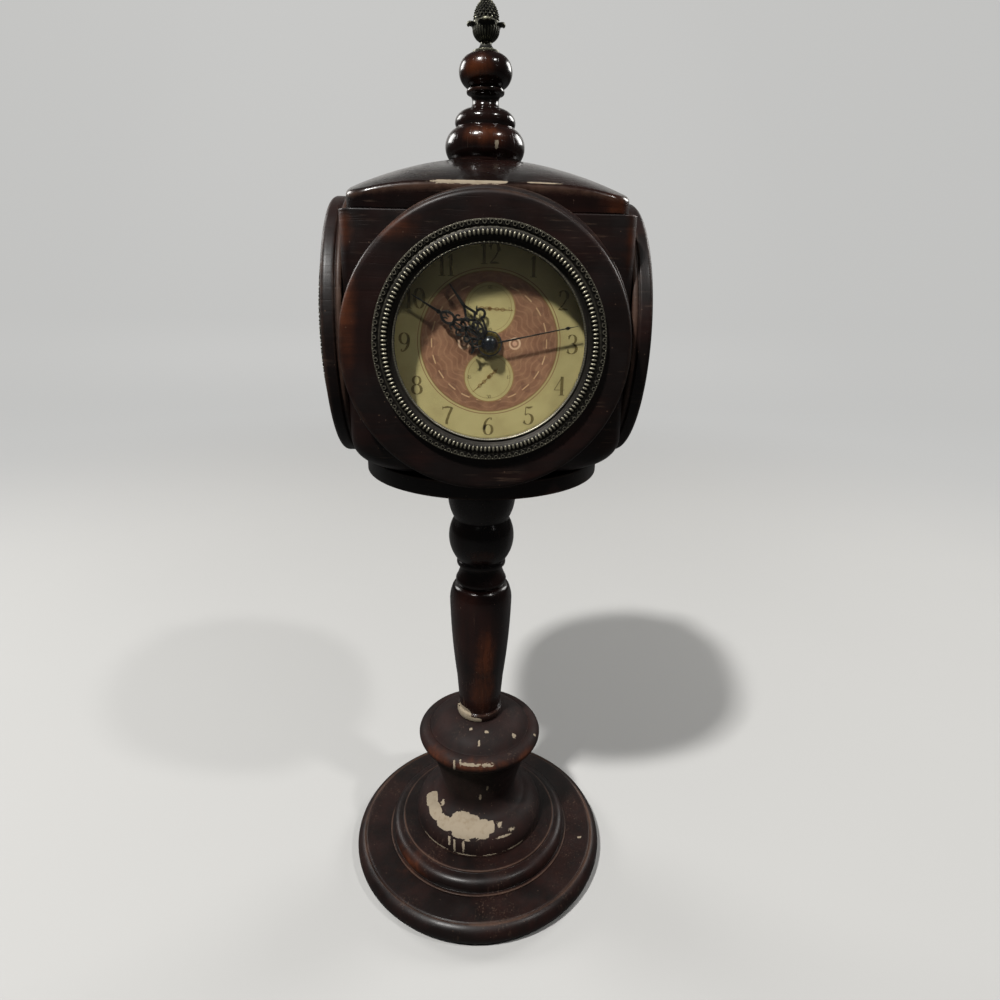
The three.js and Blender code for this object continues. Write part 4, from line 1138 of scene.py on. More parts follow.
KNURLS = 17
KNURL_DEPTH = 0.6
KNURL_TALL = 2.6
FLUTES = 28
CUP_RIM = 13.7


def acorn_nut(foot, tall, radius, bow):
    """A pointed nut covered in small pyramids: two sets of crossing spiral grooves."""
    outline = np.concatenate(Outline(radius, foot).up(tall, 0.0, bow).legs)
    rise = np.linspace(foot, foot + tall, 64)
    reach = np.interp(rise, outline[:, 1], outline[:, 0])
    angle = circle(KNURLS * 8)
    turns = KNURLS * angle[None, :] / (2 * np.pi)
    climb = ((rise - foot) / KNURL_TALL)[:, None]
    ridge = [1 - np.abs(2 * np.mod(turns + sign * climb, 1) - 1) for sign in (-1, 1)]
    pyramid = np.minimum(ridge[0], ridge[1])
    fade = np.clip(reach / 2.5, 0, 1)[:, None]
    radii = np.maximum(reach[:, None] - KNURL_DEPTH * (1 - 2 * pyramid) * fade, 0)
    radii[-1] = 0
    grid = round_grid(radii, angle, rise[:, None])
    base = spun([0.0], [foot], len(angle))
    edge = np.vstack([np.zeros((1, len(angle))), np.clip(2.2 * pyramid - 0.9, 0, 1)])
    hollow = np.vstack([np.zeros((1, len(angle))), np.clip(1 - 2.6 * pyramid, 0, 1)])
    return sheet(np.concatenate([base, grid]), edge, hollow, wrap_rows=False)


def acorn_petal(rim):
    """One broad leaf of the cup: it lies along the wall, and its lip turns outward and droops at its sides.

    Its section, an ellipse of half-width w and half-thickness t, is carried along a path in radius and
    height, and bent round the axis: a point at the share c across stands at the angle w c / radius.
    """
    path = np.array([[5.6, rim - 5.4], [6.5, rim - 3.2], [7.0, rim - 1.7], [7.7, rim - 0.8], [8.6, rim - 0.5],
                     [9.2, rim - 0.7], [9.2, rim - 1.3]])
    steps = np.linspace(0, len(path) - 1, 24)
    line = np.stack([np.interp(steps, np.arange(len(path)), column) for column in path.T], 1)
    line[1:-1] = (line[:-2] + line[1:-1] + line[2:]) / 3
    along = np.gradient(line, axis=0)
    along /= np.linalg.norm(along, axis=1)[:, None]
    up = np.stack([-along[:, 1], along[:, 0]], 1)
    share = np.linspace(0, 1, len(line))
    wide = np.interp(share, [0.0, 0.4, 0.75, 1.0], [4.0, 5.0, 3.2, 1.6])
    thick = np.interp(share, [0.0, 0.5, 1.0], [0.5, 0.6, 0.75])
    turn = circle(20)
    across = np.cos(turn)
    lift = thick[:, None] * np.sin(turn)
    radius = line[:, :1] + up[:, :1] * lift
    rise = line[:, 1:] + up[:, 1:] * lift - 0.6 * share[:, None] * across**2
    grid = round_grid(radius, wide[:, None] * across / line[:, :1], rise)
    ends = [np.repeat(grid[k].mean(0)[None, None], len(turn), 1) for k in (0, -1)]
    edge = np.concatenate([[0.0], share**2, [1.0]])[:, None]
    return sheet(np.concatenate([ends[0], grid, ends[1]]), edge, wrap_rows=False)


def make_acorn():
    """Flange and stem, a beaded ring, a fluted cup with four curled petals, and the knurled nut."""
    foot = Outline(2.4).across(6.9).up(0.9).up(4.0, 2.8, -1.1).across(0.4)
    stem = turned(foot, 72, ease=0.12, gap=0.4)
    cup = walked(Outline(0.4, 4.9).across(2.8).up(7.4, 6.8, 1.8).up(1.4).across(0.4), ease=0.15, gap=0.3)
    angle = circle(FLUTES * 8)
    flute = np.abs(np.sin(FLUTES * angle / 2))
    wall = np.clip((cup[:, 1] - 5.2) / 1.5, 0, 1) * np.clip((CUP_RIM - 0.8 - cup[:, 1]) / 0.8, 0, 1)
    radius = cup[:, :1] - 0.4 * wall[:, None] * (1 - flute)
    grid = round_grid(radius, angle, cup[:, 1:2])
    edge = cup[:, 2:3] * 0.5 + 0.35 * flute
    bowl = sheet(grid, edge, wall[:, None] * np.clip(1 - 1.8 * flute, 0, 1), wrap_rows=False)
    bead = moved(bead_dome(0.5, 0.5, 0.5), (3.1, 0, 5.3))
    beads = repeated(bead, circle(18))
    petals = repeated(acorn_petal(CUP_RIM), np.arange(4) * np.pi / 2)
    nut = acorn_nut(CUP_RIM - 0.3, 11.3, 6.3, 1.9)
    shells = [moved(part, (0, 0, level("acorn_finial"))) for part in (stem, bowl, beads, petals, nut)]
    piece("acorn_casting", shells, GREEN_BRONZE, "lid", "bronze", "acorn_finial")


def bead_dome(length, width, rise, rows=5, columns=10):
    """A closed bead: an ellipsoid of the given half-sizes, brighter on top and dark round its foot."""
    tilt = np.linspace(-np.pi / 2, np.pi / 2, rows)[:, None]
    angle = circle(columns)
    x = length * np.cos(tilt) * np.cos(angle)
    y = width * np.cos(tilt) * np.sin(angle)
    z = rise * np.sin(tilt) + 0 * angle
    high = np.sin(tilt)
    dark = np.clip(0.9 - 1.3 * high, 0, 1)
    return sheet(np.stack([x, y, z], -1), np.clip(high, 0, 1), dark, wrap_rows=False)


# Faces


def ring_shell(face, bore, shift):
    """Wooden ring: a bead at its back, a plain edge and a rounded nose.

    In front of the bead its rim is shifted in its own plane, by less and less toward the bore.
    """
    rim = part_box("front_ring")[1].x / MM
    neck = RING_FOOT + RING_BEAD
    outline = Outline(64.0, RING_FOOT).across(rim - 0.8).up(RING_BEAD, rim - 0.8, 0.8).across(rim - 1.0)
    outline.to(rim, neck + 0.9).to(rim, face - RING_NOSE)
    outline.up(RING_NOSE, rim - RING_NOSE, RING_NOSE * (1 - math.sqrt(0.5))).across(bore + 2.0)
    seat = outward("dial")[1] + 0.3
    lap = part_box("front_dial")[1].x / MM + 0.3
    shell = turned(outline, WIDE_SIDES, (bore, face), (bore, seat), (lap, seat), (lap, RING_FOOT), ease=0.3)
    points = shell["points"].copy()
    outer = np.clip((np.hypot(points[:, 0], points[:, 1]) - bore) / (rim - bore), 0, 1)
    ahead = np.clip((points[:, 2] - neck) / 0.6, 0, 1)
    points[:, :2] += (outer * ahead)[:, None] * np.asarray(shift, float)
    return {**shell, "points": points}


def pearl_shell():
    """A small ring of round wire, with a dark eye."""
    wire = circle(6)
    reach = PEARL_RADIUS + PEARL_WIRE * np.cos(wire)
    grid = round_grid(reach, circle(12)[:, None], PEARL_WIRE * np.sin(wire))
    edge = np.clip(np.sin(wire), 0, 1) * 0.55
    hollow = np.clip(-np.cos(wire) - 0.2, 0, 1)
    return sheet(grid, edge[None], hollow[None])


def bezel_shells(back, front):
    """Pressed bezel: a bed with a pearl row, a crown of gadroons, a dark cove and a milled lip."""
    crown = front - GADROON_RISE
    bed_top = front - 1.7
    bed = Outline(48.2, back).across(54.6).to(54.6, bed_top - 0.7).up(0.7, 55.2, 0.2).across(52.6)
    bed.up(-0.4, 52.2).across(51.9).to(51.3, crown - 0.5).to(50.6, crown).across(48.8).to(48.1, crown - 0.6)
    bed.to(47.4, crown - 1.3).up(-0.9, 46.0, -0.3)
    skirt = back - 5.0
    body = turned(bed, WIDE_SIDES, (45.9, back + 0.3), (46.5, back + 0.3), (46.5, skirt), (47.9, skirt),
                  (47.9, back), ease=0.12, gap=0.9)
    reach = np.hypot(*body["points"][:, :2].T)
    cove = np.clip(1.2 - np.abs(reach - 46.9) / 0.8, 0, 0.3)
    seats = np.clip(2.0 - np.abs(reach - GADROON_CIRCLE) / 1.2, 0, 1)
    beds = np.clip(1.4 - np.abs(reach - 53.4) / 1.2, 0, 0.8)
    body = {**body, "hollow": np.maximum(np.maximum(cove, seats), beds), "edge": body["edge"] * 0.5}
    pearl = moved(pearl_shell(), (PEARL_CIRCLE, 0, bed_top + 0.25))
    stop = moved(bead_dome(0.34, 0.42, 0.5, 4, 8), (54.6, 0, bed_top + 0.2))
    turns = circle(PEARLS)
    gadroon = bead_dome(GADROON_LENGTH / 2, GADROON_WIDTH / 2, GADROON_RISE, 7, 12)
    gadroon = moved(gadroon, (GADROON_CIRCLE, 0, crown))
    tooth = np.arange(2 * MILLED_TEETH) % 2 * 0.16
    lip_radius = np.array([46.1, 45.8, 45.3, 44.8, 44.7, 44.8])[:, None]
    lip_radius = lip_radius + tooth * np.array([0, 0.5, 1, 1, 0, 0])[:, None]
    lip_rise = back + np.array([0.5, 1.2, 1.4, 1.1, 0.6, 0.3])[:, None]
    lip_edge = np.array([0.1, 0.4, 0.7, 0.6, 0.2, 0.0])[:, None] * (1 - 2.5 * tooth)
    lip = sheet(round_grid(lip_radius, circle(2 * MILLED_TEETH), lip_rise), lip_edge)
    stops = repeated(stop, turns + np.pi / PEARLS)
    return [body, repeated(pearl, turns), stops, repeated(gadroon, circle(GADROONS)), lip]


# Hands

HOUR_TURN = (TIME["hour"] + TIME["minute"] / 60) / 12
MINUTE_TURN = (TIME["minute"] + TIME["second"] / 60) / 60
SECOND_TURN = TIME["second"] / 60


def arc_path(along, radius, start, end, steps=26):
    """Part of a circle in a hand's own plane, with angles in degrees from the hand's right."""
    angle = np.radians(np.linspace(start, end, steps))
    return np.stack([radius * np.cos(angle), along + radius * np.sin(angle)], 1)


def strand(start, end, sway, steps=24):
    """Half a wave to one side of a hand, from one distance along it to another."""
    share = np.linspace(0, 1, steps)
    return np.stack([sway * np.sin(np.pi * share), start + (end - start) * share], 1)


def straight(start, end, steps):
    return np.stack([np.zeros(steps), np.linspace(start, end, steps)], 1)


def bent(*points, steps=10):
    """A smooth path through points, by cubics that leave and arrive along their neighbours' chords."""
    points = np.array(points, float)
    padded = np.vstack([2 * points[0] - points[1], points, 2 * points[-1] - points[-2]])
    before, start, end, after = (padded[k:len(points) - 1 + k, None] for k in range(4))
    share = np.linspace(0, 1, steps, endpoint=False)[None, :, None]
    first = (end - before) * share
    second = (2 * before - 5 * start + 4 * end - after) * share**2
    third = (3 * start - before - 3 * end + after) * share**3
    return np.vstack([(start + 0.5 * (first + second + third)).reshape(-1, 2), points[-1:]])


def curl(side, across, along, radius, start, end):
    """A curl on one side of a hand, with angles from the hand's outer side."""
    path = arc_path(along, radius, start, end)
    return (path + (across, 0.0)) * (side, 1.0)


def hour_strokes():
    """A tapered blade on two legs that cross below it, with a loop, a strut and a hook on each side."""
    blade = straight(20.6, 33.4, 14)
    yield blade, np.interp(blade[:, 1], [20.6, 22.4, 33.4], [1.3, 1.8, 0.3])
    for side in (-1, 1):
        yield bent((0.0, 21.6), (side * 1.0, 19.2), (side * 2.4, 16.3)), 1.2
        crossed = [(2.5, 16.6), (1.4, 14.6), (-0.9, 12.2), (-1.7, 9.4), (-1.0, 6.6), (0.0, 3.4)]
        yield bent(*((side * across, along) for across, along in crossed)), 1.15
        yield curl(side, 4.4, 14.0, 2.0, 165, -115), 1.25
        yield bent((side * 3.6, 12.3), (side * 3.3, 9.8), (side * 2.4, 7.0), (side * 1.2, 4.6)), 1.15
        yield bent((side * 3.6, 15.7), (side * 4.2, 17.0), (side * 5.0, 17.9)), np.linspace(1.1, 0.5, 21)


def minute_strokes():
    """A thin blade and a bead on three leaves, one past the other, with curls beside the lower two."""
    blade = straight(26.6, 43.0, 14)
    yield blade, np.interp(blade[:, 1], [26.6, 29.0, 43.0], [0.9, 1.3, 0.3])
    yield strand(27.2, 29.4, 0.0), 2.1 * domed(24, 0.02)
    yield straight(4.0, 20.0, 8), 0.8
    for side in (-1, 1):
        yield bent((side * 0.3, 27.0), (side * 2.1, 24.8), (side * 2.3, 22.2), (side * 0.8, 19.6)), 1.3
        yield bent((side * 1.7, 25.6), (side * 0.7, 24.2), (side * 0.6, 23.0)), np.linspace(1.0, 0.5, 21)
        yield bent((0.0, 20.6), (side * 2.2, 17.6), (side * 1.7, 14.8), (0.0, 12.8)), 1.25
        yield bent((0.0, 13.8), (side * 2.5, 11.0), (side * 1.8, 7.6), (0.0, 4.6)), 1.25
        yield curl(side, 2.6, 19.4, 1.0, 210, -40), 0.9
        yield curl(side, 3.2, 15.4, 1.25, 200, -100), 1.0
        yield curl(side, 3.7, 10.6, 1.3, 190, -120), 1.05
        yield curl(side, 2.9, 6.8, 1.1, 180, -130), 0.95


def second_strokes():
    """A needle with a small spade near its tip, and a crescent on its tail."""
    needle = straight(-8.6, 43.0, 30)
    yield needle, np.interp(needle[:, 1], [-8.6, 0.0, 36.0, 43.0], [1.0, 0.9, 0.55, 0.25])
    spade = straight(36.6, 39.6, 16)
    yield spade, 0.45 + 1.1 * np.sin(np.linspace(0, np.pi, 16)) ** 1.5
    yield arc_path(-10.6, 2.5, 20, 160), 1.3 * np.sin(np.linspace(0.15, np.pi - 0.15, 26)) + 0.3


def hand_shells(strokes, low, turn):
    """The strokes of a hand as flat bars, turned clockwise from twelve by a share of a whole turn."""
    shells = [ribbon(path, width, low, low + HAND_THICKNESS, 0.09) for path, width in strokes]
    return [repeated(shell, np.array([-2 * np.pi * turn])) for shell in shells]


def make_hands(face):
    """Three hands of one face. The hour and minute hands carry a collet, and the second hand a domed cap."""
    hour_top = outward("hour_hand")[1]
    minute_top = outward("minute_hand")[1]
    second_top = outward("second_hand")[1]
    hour_low = hour_top - COLLET_HEIGHT
    minute_low = minute_top - COLLET_HEIGHT
    second_low = minute_top + 0.3
    collet = Outline(2.0, -5.0).across(2.5).to(2.5, hour_low).across(3.6).up(COLLET_HEIGHT).across(2.0)
    hour_hub = turned(collet, 40, (1.8, hour_top), (1.8, -5.0), ease=0.06, gap=0.8)
    collet = Outline(0.4, -5.0).across(1.5).to(1.5, minute_low).across(3.1).up(COLLET_HEIGHT).across(1.0)
    minute_hub = turned(collet, 36, (0.8, minute_top), (0.8, minute_top - 1.9), (0.0, minute_top - 1.9),
                        (0.0, -5.0), ease=0.06, gap=0.8)
    dome = Outline(0.1, second_low - 1.9).across(0.5).to(0.5, second_low).across(3.9).up(0.5, 4.0, 0.1)
    dome.up(second_top - second_low - 0.5, 0.0, 0.85)
    cap = turned(dome, 48, ease=0.06, gap=0.5)
    sets = (
        ("hour", hour_strokes(), hour_low, HOUR_TURN, [hour_hub]),
        ("minute", minute_strokes(), minute_low, MINUTE_TURN, [minute_hub]),
        ("second", second_strokes(), second_low, SECOND_TURN, []),
    )
    for hand, strokes, low, turn, hub in sets:
        shells = hand_shells(strokes, low, turn) + hub
        face_piece(face, f"{hand}_hand_filigree", shells, BLACK_METAL, "black_metal", f"{hand}_hand", hand)
    face_piece(face, "centre_cap", [cap], CAP_METAL, "black_metal", body="second")


# Dial and print

HAIRLINE = 0.035
NUMERAL_HEIGHT = 9.3
NUMERAL_CIRCLE = 40.8
NARROW_STEP = 0.46  # of the figure one
WIDE_STEP = 0.62
PRINT_THICKNESS = 0.03
PRINT_BEVEL = 0.004


def bowl(x, y, wide, tall, start, end):
    """Part of an ellipse, with angles in degrees from its right."""
    angle = np.radians(np.linspace(start, end, 40))
    return np.stack([x + wide * np.cos(angle), y + tall * np.sin(angle)], 1)


def legs(*points):
    """A run of straight legs, with points close enough for a stroke."""
    points = np.array(points, float)
    steps = np.linspace(0, len(points) - 1, 12 * (len(points) - 1) + 1)
    return np.stack([np.interp(steps, np.arange(len(points)), column) for column in points.T], 1)


def six(turned_over):
    strokes = [(bowl(0.3, 0.3, 0.22, 0.28, 0, 360), 0.15), (bowl(0.47, 0.36, 0.39, 0.6, 96, 186), 0.15),
               (legs((0.42, 0.9), (0.5, 0.9)), "dot")]
    if turned_over:
        strokes = [(np.array([0.6, 1.0]) - path, weight) for path, weight in strokes]
    return strokes


# Strokes of each figure in a box one high: a path, and how thick its upright parts are
FIGURES = {
    "0": [(bowl(0.3, 0.5, 0.23, 0.48, 0, 360), 0.16)],
    "1": [(legs((0.23, 0.0), (0.23, 1.0)), 0.16), (legs((0.23, 0.99), (0.07, 0.84)), 0.04),
          (legs((0.06, 0.01), (0.4, 0.01)), 0.04)],
    "2": [(bowl(0.28, 0.73, 0.22, 0.25, 165, -30), 0.16),
          (legs((0.47, 0.605), (0.3, 0.3), (0.06, 0.04)), 0.07),
          (legs((0.06, 0.04), (0.3, 0.07), (0.54, 0.04)), "bar"),
          (legs((0.07, 0.75), (0.15, 0.75)), "dot")],
    "3": [(bowl(0.26, 0.75, 0.2, 0.23, 150, -90), 0.14), (bowl(0.26, 0.27, 0.25, 0.26, 90, -150), 0.16),
          (legs((0.06, 0.82), (0.14, 0.82)), "dot"), (legs((0.03, 0.18), (0.11, 0.18)), "dot")],
    "4": [(legs((0.43, 0.0), (0.43, 1.0)), 0.16), (legs((0.43, 0.99), (0.02, 0.29)), 0.045),
          (legs((0.02, 0.29), (0.58, 0.29)), 0.045), (legs((0.28, 0.01), (0.58, 0.01)), 0.04)],
    "5": [(legs((0.12, 0.96), (0.3, 0.93), (0.5, 0.98)), "bar"), (legs((0.13, 0.95), (0.11, 0.53)), 0.045),
          (bowl(0.26, 0.3, 0.25, 0.29, 128, -150), 0.16), (legs((0.03, 0.17), (0.11, 0.17)), "dot")],
    "6": six(False),
    "7": [(legs((0.05, 0.9), (0.28, 0.95), (0.55, 0.92)), "bar"), (legs((0.05, 0.97), (0.05, 0.8)), 0.04),
          (legs((0.55, 0.93), (0.36, 0.5), (0.26, 0.2), (0.25, 0.0)), 0.15)],
    "8": [(bowl(0.3, 0.745, 0.185, 0.225, 0, 360), 0.13), (bowl(0.3, 0.27, 0.23, 0.25, 0, 360), 0.16)],
    "9": six(True),
}


def figure_shells(text, centre, tall, low):
    """Figures in upright strokes: the more upright a stroke runs, the thicker it is."""
    steps = [NARROW_STEP if letter == "1" else WIDE_STEP for letter in text]
    starts = np.cumsum([-0.5 * sum(steps)] + steps[:-1])
    shells = []
    for start, letter in zip(starts, text):
        for path, weight in FIGURES[letter]:
            along = np.gradient(path, axis=0)
            upright = np.abs(along[:, 1]) / np.maximum(np.linalg.norm(along, axis=1), 1e-9)
            if weight == "dot":
                width = 0.15 * domed(len(path), 0.01)
            elif weight == "bar":
                width = 0.03 + 0.075 * np.sin(np.linspace(0.1, np.pi - 0.1, len(path)))
            else:
                width = HAIRLINE + (weight - HAIRLINE) * upright**1.6
            place = (path - (0.0, 0.5) + (start, 0.0)) * tall + np.asarray(centre)
            shells.append(ribbon(place, width * tall, low, low + PRINT_THICKNESS, PRINT_BEVEL))
    return shells


def numeral_shells(low):
    """Twelve upright numerals on their circle, and quarter figures on the two small dials."""
    shells = []
    for hour in range(1, 13):
        angle = 2 * math.pi * hour / 12
        centre = NUMERAL_CIRCLE * np.array([math.sin(angle), math.cos(angle)])
        shells += figure_shells(str(hour), centre, NUMERAL_HEIGHT, low)
    for side in (-1, 1):
        middle = np.array([0.0, side * SUBDIAL_RISE * DIAL_RADIUS])
        for quarter, text in enumerate(("60", "15", "30", "45")):
            angle = quarter * math.pi / 2
            reach = 0.8 * SUBDIAL_RADIUS * DIAL_RADIUS
            centre = middle + reach * np.array([math.sin(angle), math.cos(angle)])
            shells += figure_shells(text, centre, 1.7, low)
    return shells


def small_hand_shells(low):
    """Printed hands of the small dials: a needle through a row of small leaves."""
    shells = []
    for side, turn in ((-1, 0.63), (1, 0.26)):
        strokes = [(straight(-6.0, 11.0, 20), 0.35)]
        for start in (-5.0, -2.6, 2.2, 5.0):
            for sway in (-0.75, 0.75):
                strokes.append((strand(start, start + 2.4, sway), 0.28))
        strokes.append((strand(-1.0, 1.0, 0.0), 2.0 * domed(24, 0.02)))
        for path, width in strokes:
            stroke = ribbon(path, width, low, low + PRINT_THICKNESS, PRINT_BEVEL)
            shell = repeated(stroke, np.array([-2 * np.pi * turn]))
            shells.append(moved(shell, (0.0, side * SUBDIAL_RISE * DIAL_RADIUS, 0.0)))
    return shells


def dial_shell(low, high, bore, rim):
    """A flat disc with a hole, in rings close enough to carry its print."""
    radius = np.array([bore, bore, 12.0, 24.0, 36.0, rim - 0.1, rim, rim])
    rise = np.array([low, high, high, high, high, high, high - 0.1, low])
    return sheet(spun(radius, rise, WIDE_SIDES))


# Movement, cell and set knob


def cell_shell(axial, radius, drop, back):
    """A cell lying across the movement: jacket with rolled ends, and a button at one end."""
    half = axial / 2
    jacket = Outline(0.0, -half).across(radius - 0.6).up(0.6, radius, 0.15).to(radius, half - 2.0)
    jacket.up(0.7, radius - 0.8, 0.15).across(2.6).up(1.3).across(0.0)
    rows = walked(jacket, ease=0.12, gap=1.5)
    band = (rows[:, 1] > half - 14.0).astype(float)
    shell = sheet(spun(rows[:, 0], rows[:, 1], 48), band[:, None], wrap_rows=False)
    x, y, z = shell["points"].T
    return {**shell, "points": np.stack([z, x + drop, y + back], 1)}


def knob_shell(low, high):
    """A thumb wheel: its rim is cut by thirty notches, and an arbor stands on its inner side."""
    rows = walked(Outline(0.0, low).across(5.9).up(4.9, 5.9).across(1.5).to(1.5, high).across(0.0),
                  ease=0.15, gap=0.6)
    angle = circle(240)
    notch = 0.35 * (np.cos(30 * angle) < -0.2)
    radius = rows[:, :1] - notch * (rows[:, :1] > 5.0)
    return sheet(round_grid(radius, angle, rows[:, 1:2]), wrap_rows=False)


def make_face(face):
    """All that one face carries, from its wooden ring to its hands."""
    dial_low, dial_high = outward("dial")
    glass_low, glass_high = outward("glass")
    shift = FRONT_RING_SHIFT if face == "front" else (0.0, 0.0)
    ring = ring_shell(outward("ring")[1], RING_BORE, shift)
    face_piece(face, "ring_turning", [ring], RING_LACQUER, "lacquered_wood", "ring")
    bezel = bezel_shells(glass_high, outward("bezel")[1])
    face_piece(face, "bezel_pressing", bezel, BRONZE, "bronze", "bezel")
    lens = Outline(44.0, glass_low).across(46.1).to(46.1, glass_high).across(44.0)
    pane = turned(lens, WIDE_SIDES, (0.0, glass_high), (0.0, glass_low), ease=0.15)
    face_piece(face, "glass_pane", [pane], GLASS, "clear_glass", "glass")

    dial = dial_shell(dial_low, dial_high, 4.3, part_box("front_dial")[1].x / MM)
    place = dial["points"] / DIAL_RADIUS * (1, 1, 0)
    face_piece(face, "dial_sheet", [dial], DIAL_PRINT, "dial_paper", "dial", place=place)
    face_piece(face, "numerals", numeral_shells(dial_high + 0.01), INK, "dial_paper")
    face_piece(face, "printed_hands", small_hand_shells(dial_high + 0.045), TAN_INK, "dial_paper")
    rim = Outline(4.6, dial_high + 0.05).across(5.5).up(1.5).across(4.6)
    nut = turned(rim, 48, (3.0, dial_high + 1.55), (3.0, dial_high + 0.05), ease=0.12, gap=0.6)
    face_piece(face, "dial_nut", [nut], BRASS, "bronze")

    low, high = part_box("front_cell")
    drop = (low.z + high.z) / 2 / MM - AXIS
    back = -(low.y + high.y) / 2 / MM - CASE_HALF
    cell = cell_shell((high.x - low.x) / MM, (high.z - low.z) / 2 / MM, drop, back)
    face_piece(face, "cell_can", [cell], JACKET, "cell_jacket", "cell")
    low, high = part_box("front_set_knob")
    rise = (low.z + high.z) / 2 / MM - AXIS
    knob = moved(knob_shell(*outward("set_knob")), (0, rise, 0))
    face_piece(face, "thumb_wheel", [knob], BLACK_PLASTIC, "black_plastic", "set_knob", "knob")
    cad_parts[f"{face}_movement"].material_slots[0].material = BLACK_PLASTIC
    make_hands(face)


# Stage, lamps and camera

FLOOR_TONE = (0.38, 0.38, 0.375, 1.0)
WALL_TONE = (0.52, 0.52, 0.51, 1.0)
TABLE_TONE = (0.018, 0.018, 0.018, 1.0)  # what the floor throws back at the clock
FLOOR_MIRRORED = 0.06  # shares of the pale floor and wall that gloss shows
WALL_MIRRORED = 1.0
ROOM_TONE = (0.53, 0.53, 0.52, 1.0)
ROOM_MIRRORED = 0.066
BLACK = (0.0, 0.0, 0.0, 1.0)
LIT_FLOOR = 0.7  # metres from the clock within which lamps light the floor
EVEN_FLOOR = 1.7  # and from which floor and wall show the room's own tone
ROOM_LIGHT = (0.0135, 0.014, 0.014, 1.0)
LAMP_TONE = (1.0, 0.985, 0.96)
SWEEP_BACK = 1600.0
SWEEP_RADIUS = 260.0
STAGE_FRONT = -2600.0
STAGE_TALL = 2400.0
STAGE_HALF = 3000.0

# Lamps: place and width in metres, and power in watts
LAMP_AIM = (0.0, -0.05, 0.4)
LAMPS = {
    "key": ((-1.1, -1.37, 2.92), 0.2, 146.0),
    "second": ((1.6, -1.37, 2.92), 0.2, 36.0),
    "front left": ((-0.75, -2.3, 1.75), 0.12, 0.35),
    "front right": ((1.7, -1.6, 1.25), 0.12, 0.32),
    "back left": ((-1.4, 0.95, 1.2), 0.7, 16.0),
    "back right": ((1.4, 0.95, 1.2), 0.7, 16.0),
}


def make_stage():
    """A pale floor that sweeps up into a wall: a flat, a quarter circle and an upright.

    Away from the clock both fade into the tone of the room, so that no edge shows.
    """
    angle = np.linspace(-np.pi / 2, 0, 24)
    curve = SWEEP_BACK + SWEEP_RADIUS * np.cos(angle)
    depth = np.concatenate([[STAGE_FRONT], curve, [SWEEP_BACK + SWEEP_RADIUS]])
    rise = np.concatenate([[0.0], SWEEP_RADIUS * (1 + np.sin(angle)), [STAGE_TALL]])
    wide = np.linspace(-STAGE_HALF, STAGE_HALF, 3)
    grid = np.stack(np.broadcast_arrays(wide[None], depth[:, None], rise[:, None]), -1)
    shell = sheet(grid, wrap_rows=False, wrap_columns=False)
    mesh = bpy.data.meshes.new("floor")
    mesh.from_pydata((shell["points"] * MM).tolist(), [], shell["quads"].tolist())
    mesh.shade_smooth()

    def build(graph):
        place = graph.place()
        _, _, rise = graph.add("SeparateXYZ", {0: place}).outputs
        wall = graph.math("MULTIPLY_ADD", graph.noise(place, 3.0, 2.0), 0.1, graph.ramp(rise, 0.0, 0.6))
        rays = graph.add("LightPath").outputs
        upright = graph.ramp(rise, 0.5, 0.95, FLOOR_MIRRORED, WALL_MIRRORED)
        lower = graph.ramp(rise, 1.3, 2.0, 1.0, 0.15)
        bounced = graph.math("MAXIMUM", rays["Is Glossy Ray"], rays["Is Transmission Ray"])
        mirrored = graph.math("MULTIPLY", bounced, graph.math("MULTIPLY", upright, lower))
        seen = graph.math("MAXIMUM", rays["Is Camera Ray"], mirrored)
        lit = graph.mix(seen, TABLE_TONE, graph.mix(wall, FLOOR_TONE, WALL_TONE))
        far = graph.ramp(graph.vector("LENGTH", place), LIT_FLOOR, EVEN_FLOOR)
        even = graph.math("MULTIPLY", far, rays["Is Camera Ray"])
        return {
            "Base Color": graph.mix(even, lit, BLACK),
            "Emission Color": graph.mix(even, BLACK, ROOM_TONE),
        }

    mesh.materials.append(finish("pale floor", build, roughness=0.7, emission_strength=1.0))
    floor = bpy.data.objects.new("floor", mesh)
    bpy.context.scene.collection.objects.link(floor)


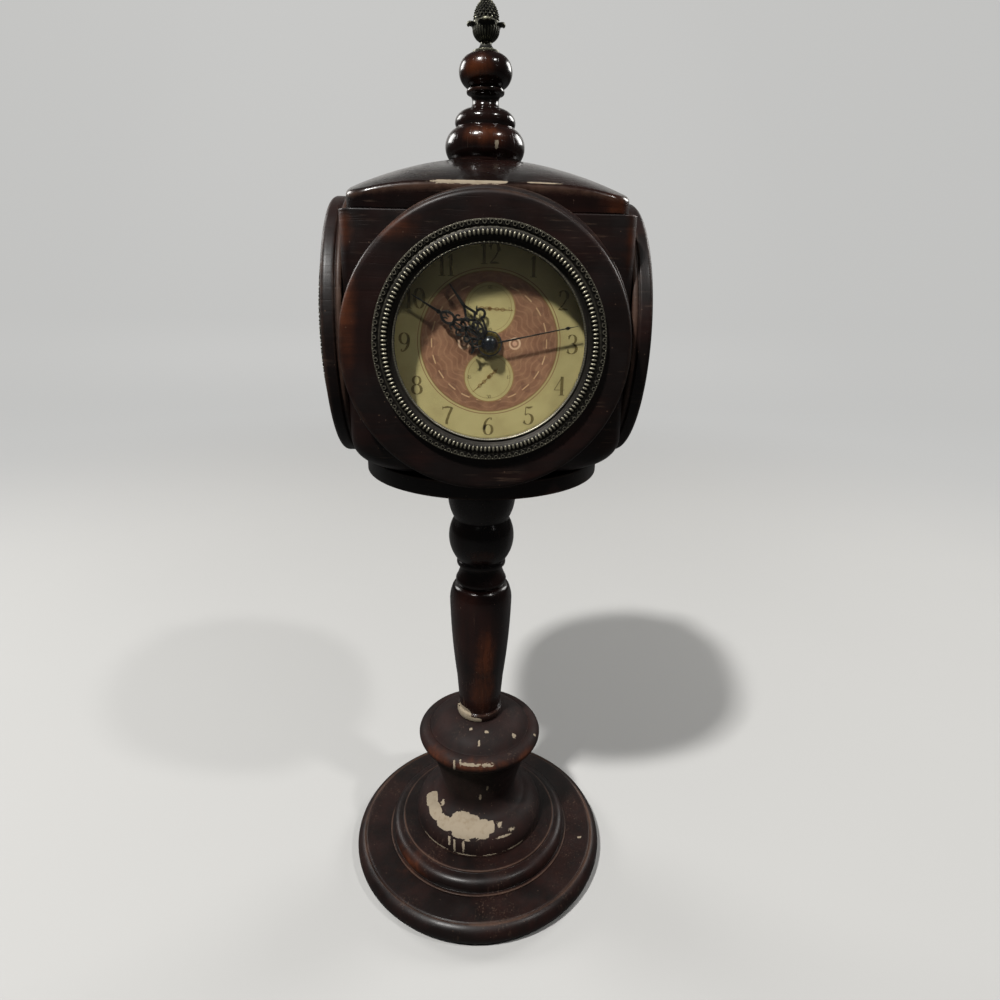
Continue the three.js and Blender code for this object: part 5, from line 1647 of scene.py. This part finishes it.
def lamp(name, place, wide, power):
    """A square lamp turned to the head, which the camera doesn't see."""
    light = bpy.data.lights.new(name, "AREA")
    light.size = wide
    light.energy = power
    light.color = LAMP_TONE
    made = bpy.data.objects.new(name, light)
    back = np.array(place) - np.array(LAMP_AIM)
    back = back / np.linalg.norm(back)
    right = np.cross((0, 0, 1), back)
    right = right / np.linalg.norm(right)
    up = np.cross(back, right)
    turn = Matrix(np.stack([right, up, back], 1).tolist()).to_4x4()
    made.matrix_world = Matrix.Translation(place) @ turn
    made.visible_camera = False
    bpy.context.scene.collection.objects.link(made)


def make_light():
    """A lamp high on the left, a weaker one on the right, two small ones for highlights and two behind.

    The world is pale where it is seen and dim where it lights.
    """
    for name, (place, wide, power) in LAMPS.items():
        lamp(name, place, wide, power)
    world = bpy.data.worlds.new("room")
    world.use_nodes = True
    graph = Graph(world.node_tree)
    rays = graph.add("LightPath").outputs
    bounced = graph.math("MAXIMUM", rays["Is Glossy Ray"], rays["Is Transmission Ray"])
    seen = graph.math("MAXIMUM", rays["Is Camera Ray"], graph.math("MULTIPLY", bounced, ROOM_MIRRORED))
    graph.put(world.node_tree.nodes["Background"].inputs["Color"], graph.mix(seen, ROOM_LIGHT, ROOM_TONE))
    bpy.context.scene.world = world


def make_camera():
    """The photograph's view: yawed, pitched down and rolled, with its focal length in pixels."""
    cp, sp = math.cos(CAMERA_PITCH), math.sin(CAMERA_PITCH)
    cy, sy = math.cos(CAMERA_YAW), math.sin(CAMERA_YAW)
    cr, sr = math.cos(CAMERA_ROLL), math.sin(CAMERA_ROLL)
    level_right = np.array([cy, -sy, 0.0])
    ahead = np.array([cp * sy, cp * cy, -sp])
    level_up = np.array([sp * sy, sp * cy, cp])
    right = cr * level_right + sr * level_up
    up = cr * level_up - sr * level_right
    data = bpy.data.cameras.new("camera")
    data.sensor_width = SENSOR
    data.lens = FOCAL_PIXELS / IMAGE_PIXELS * SENSOR
    data.clip_start = 0.01
    camera = bpy.data.objects.new("camera", data)
    turn = Matrix(np.stack([right, up, -ahead], 1).tolist()).to_4x4()
    camera.matrix_world = Matrix.Translation([value * MM for value in CAMERA_PLACE]) @ turn
    bpy.context.scene.collection.objects.link(camera)
    bpy.context.scene.camera = camera
    bpy.context.scene.view_settings.view_transform = "Standard"


make_camera()
make_stage()
make_light()
make_pedestal()
make_hardware()
make_head()
make_acorn()
for side in FACES:
    make_face(side)
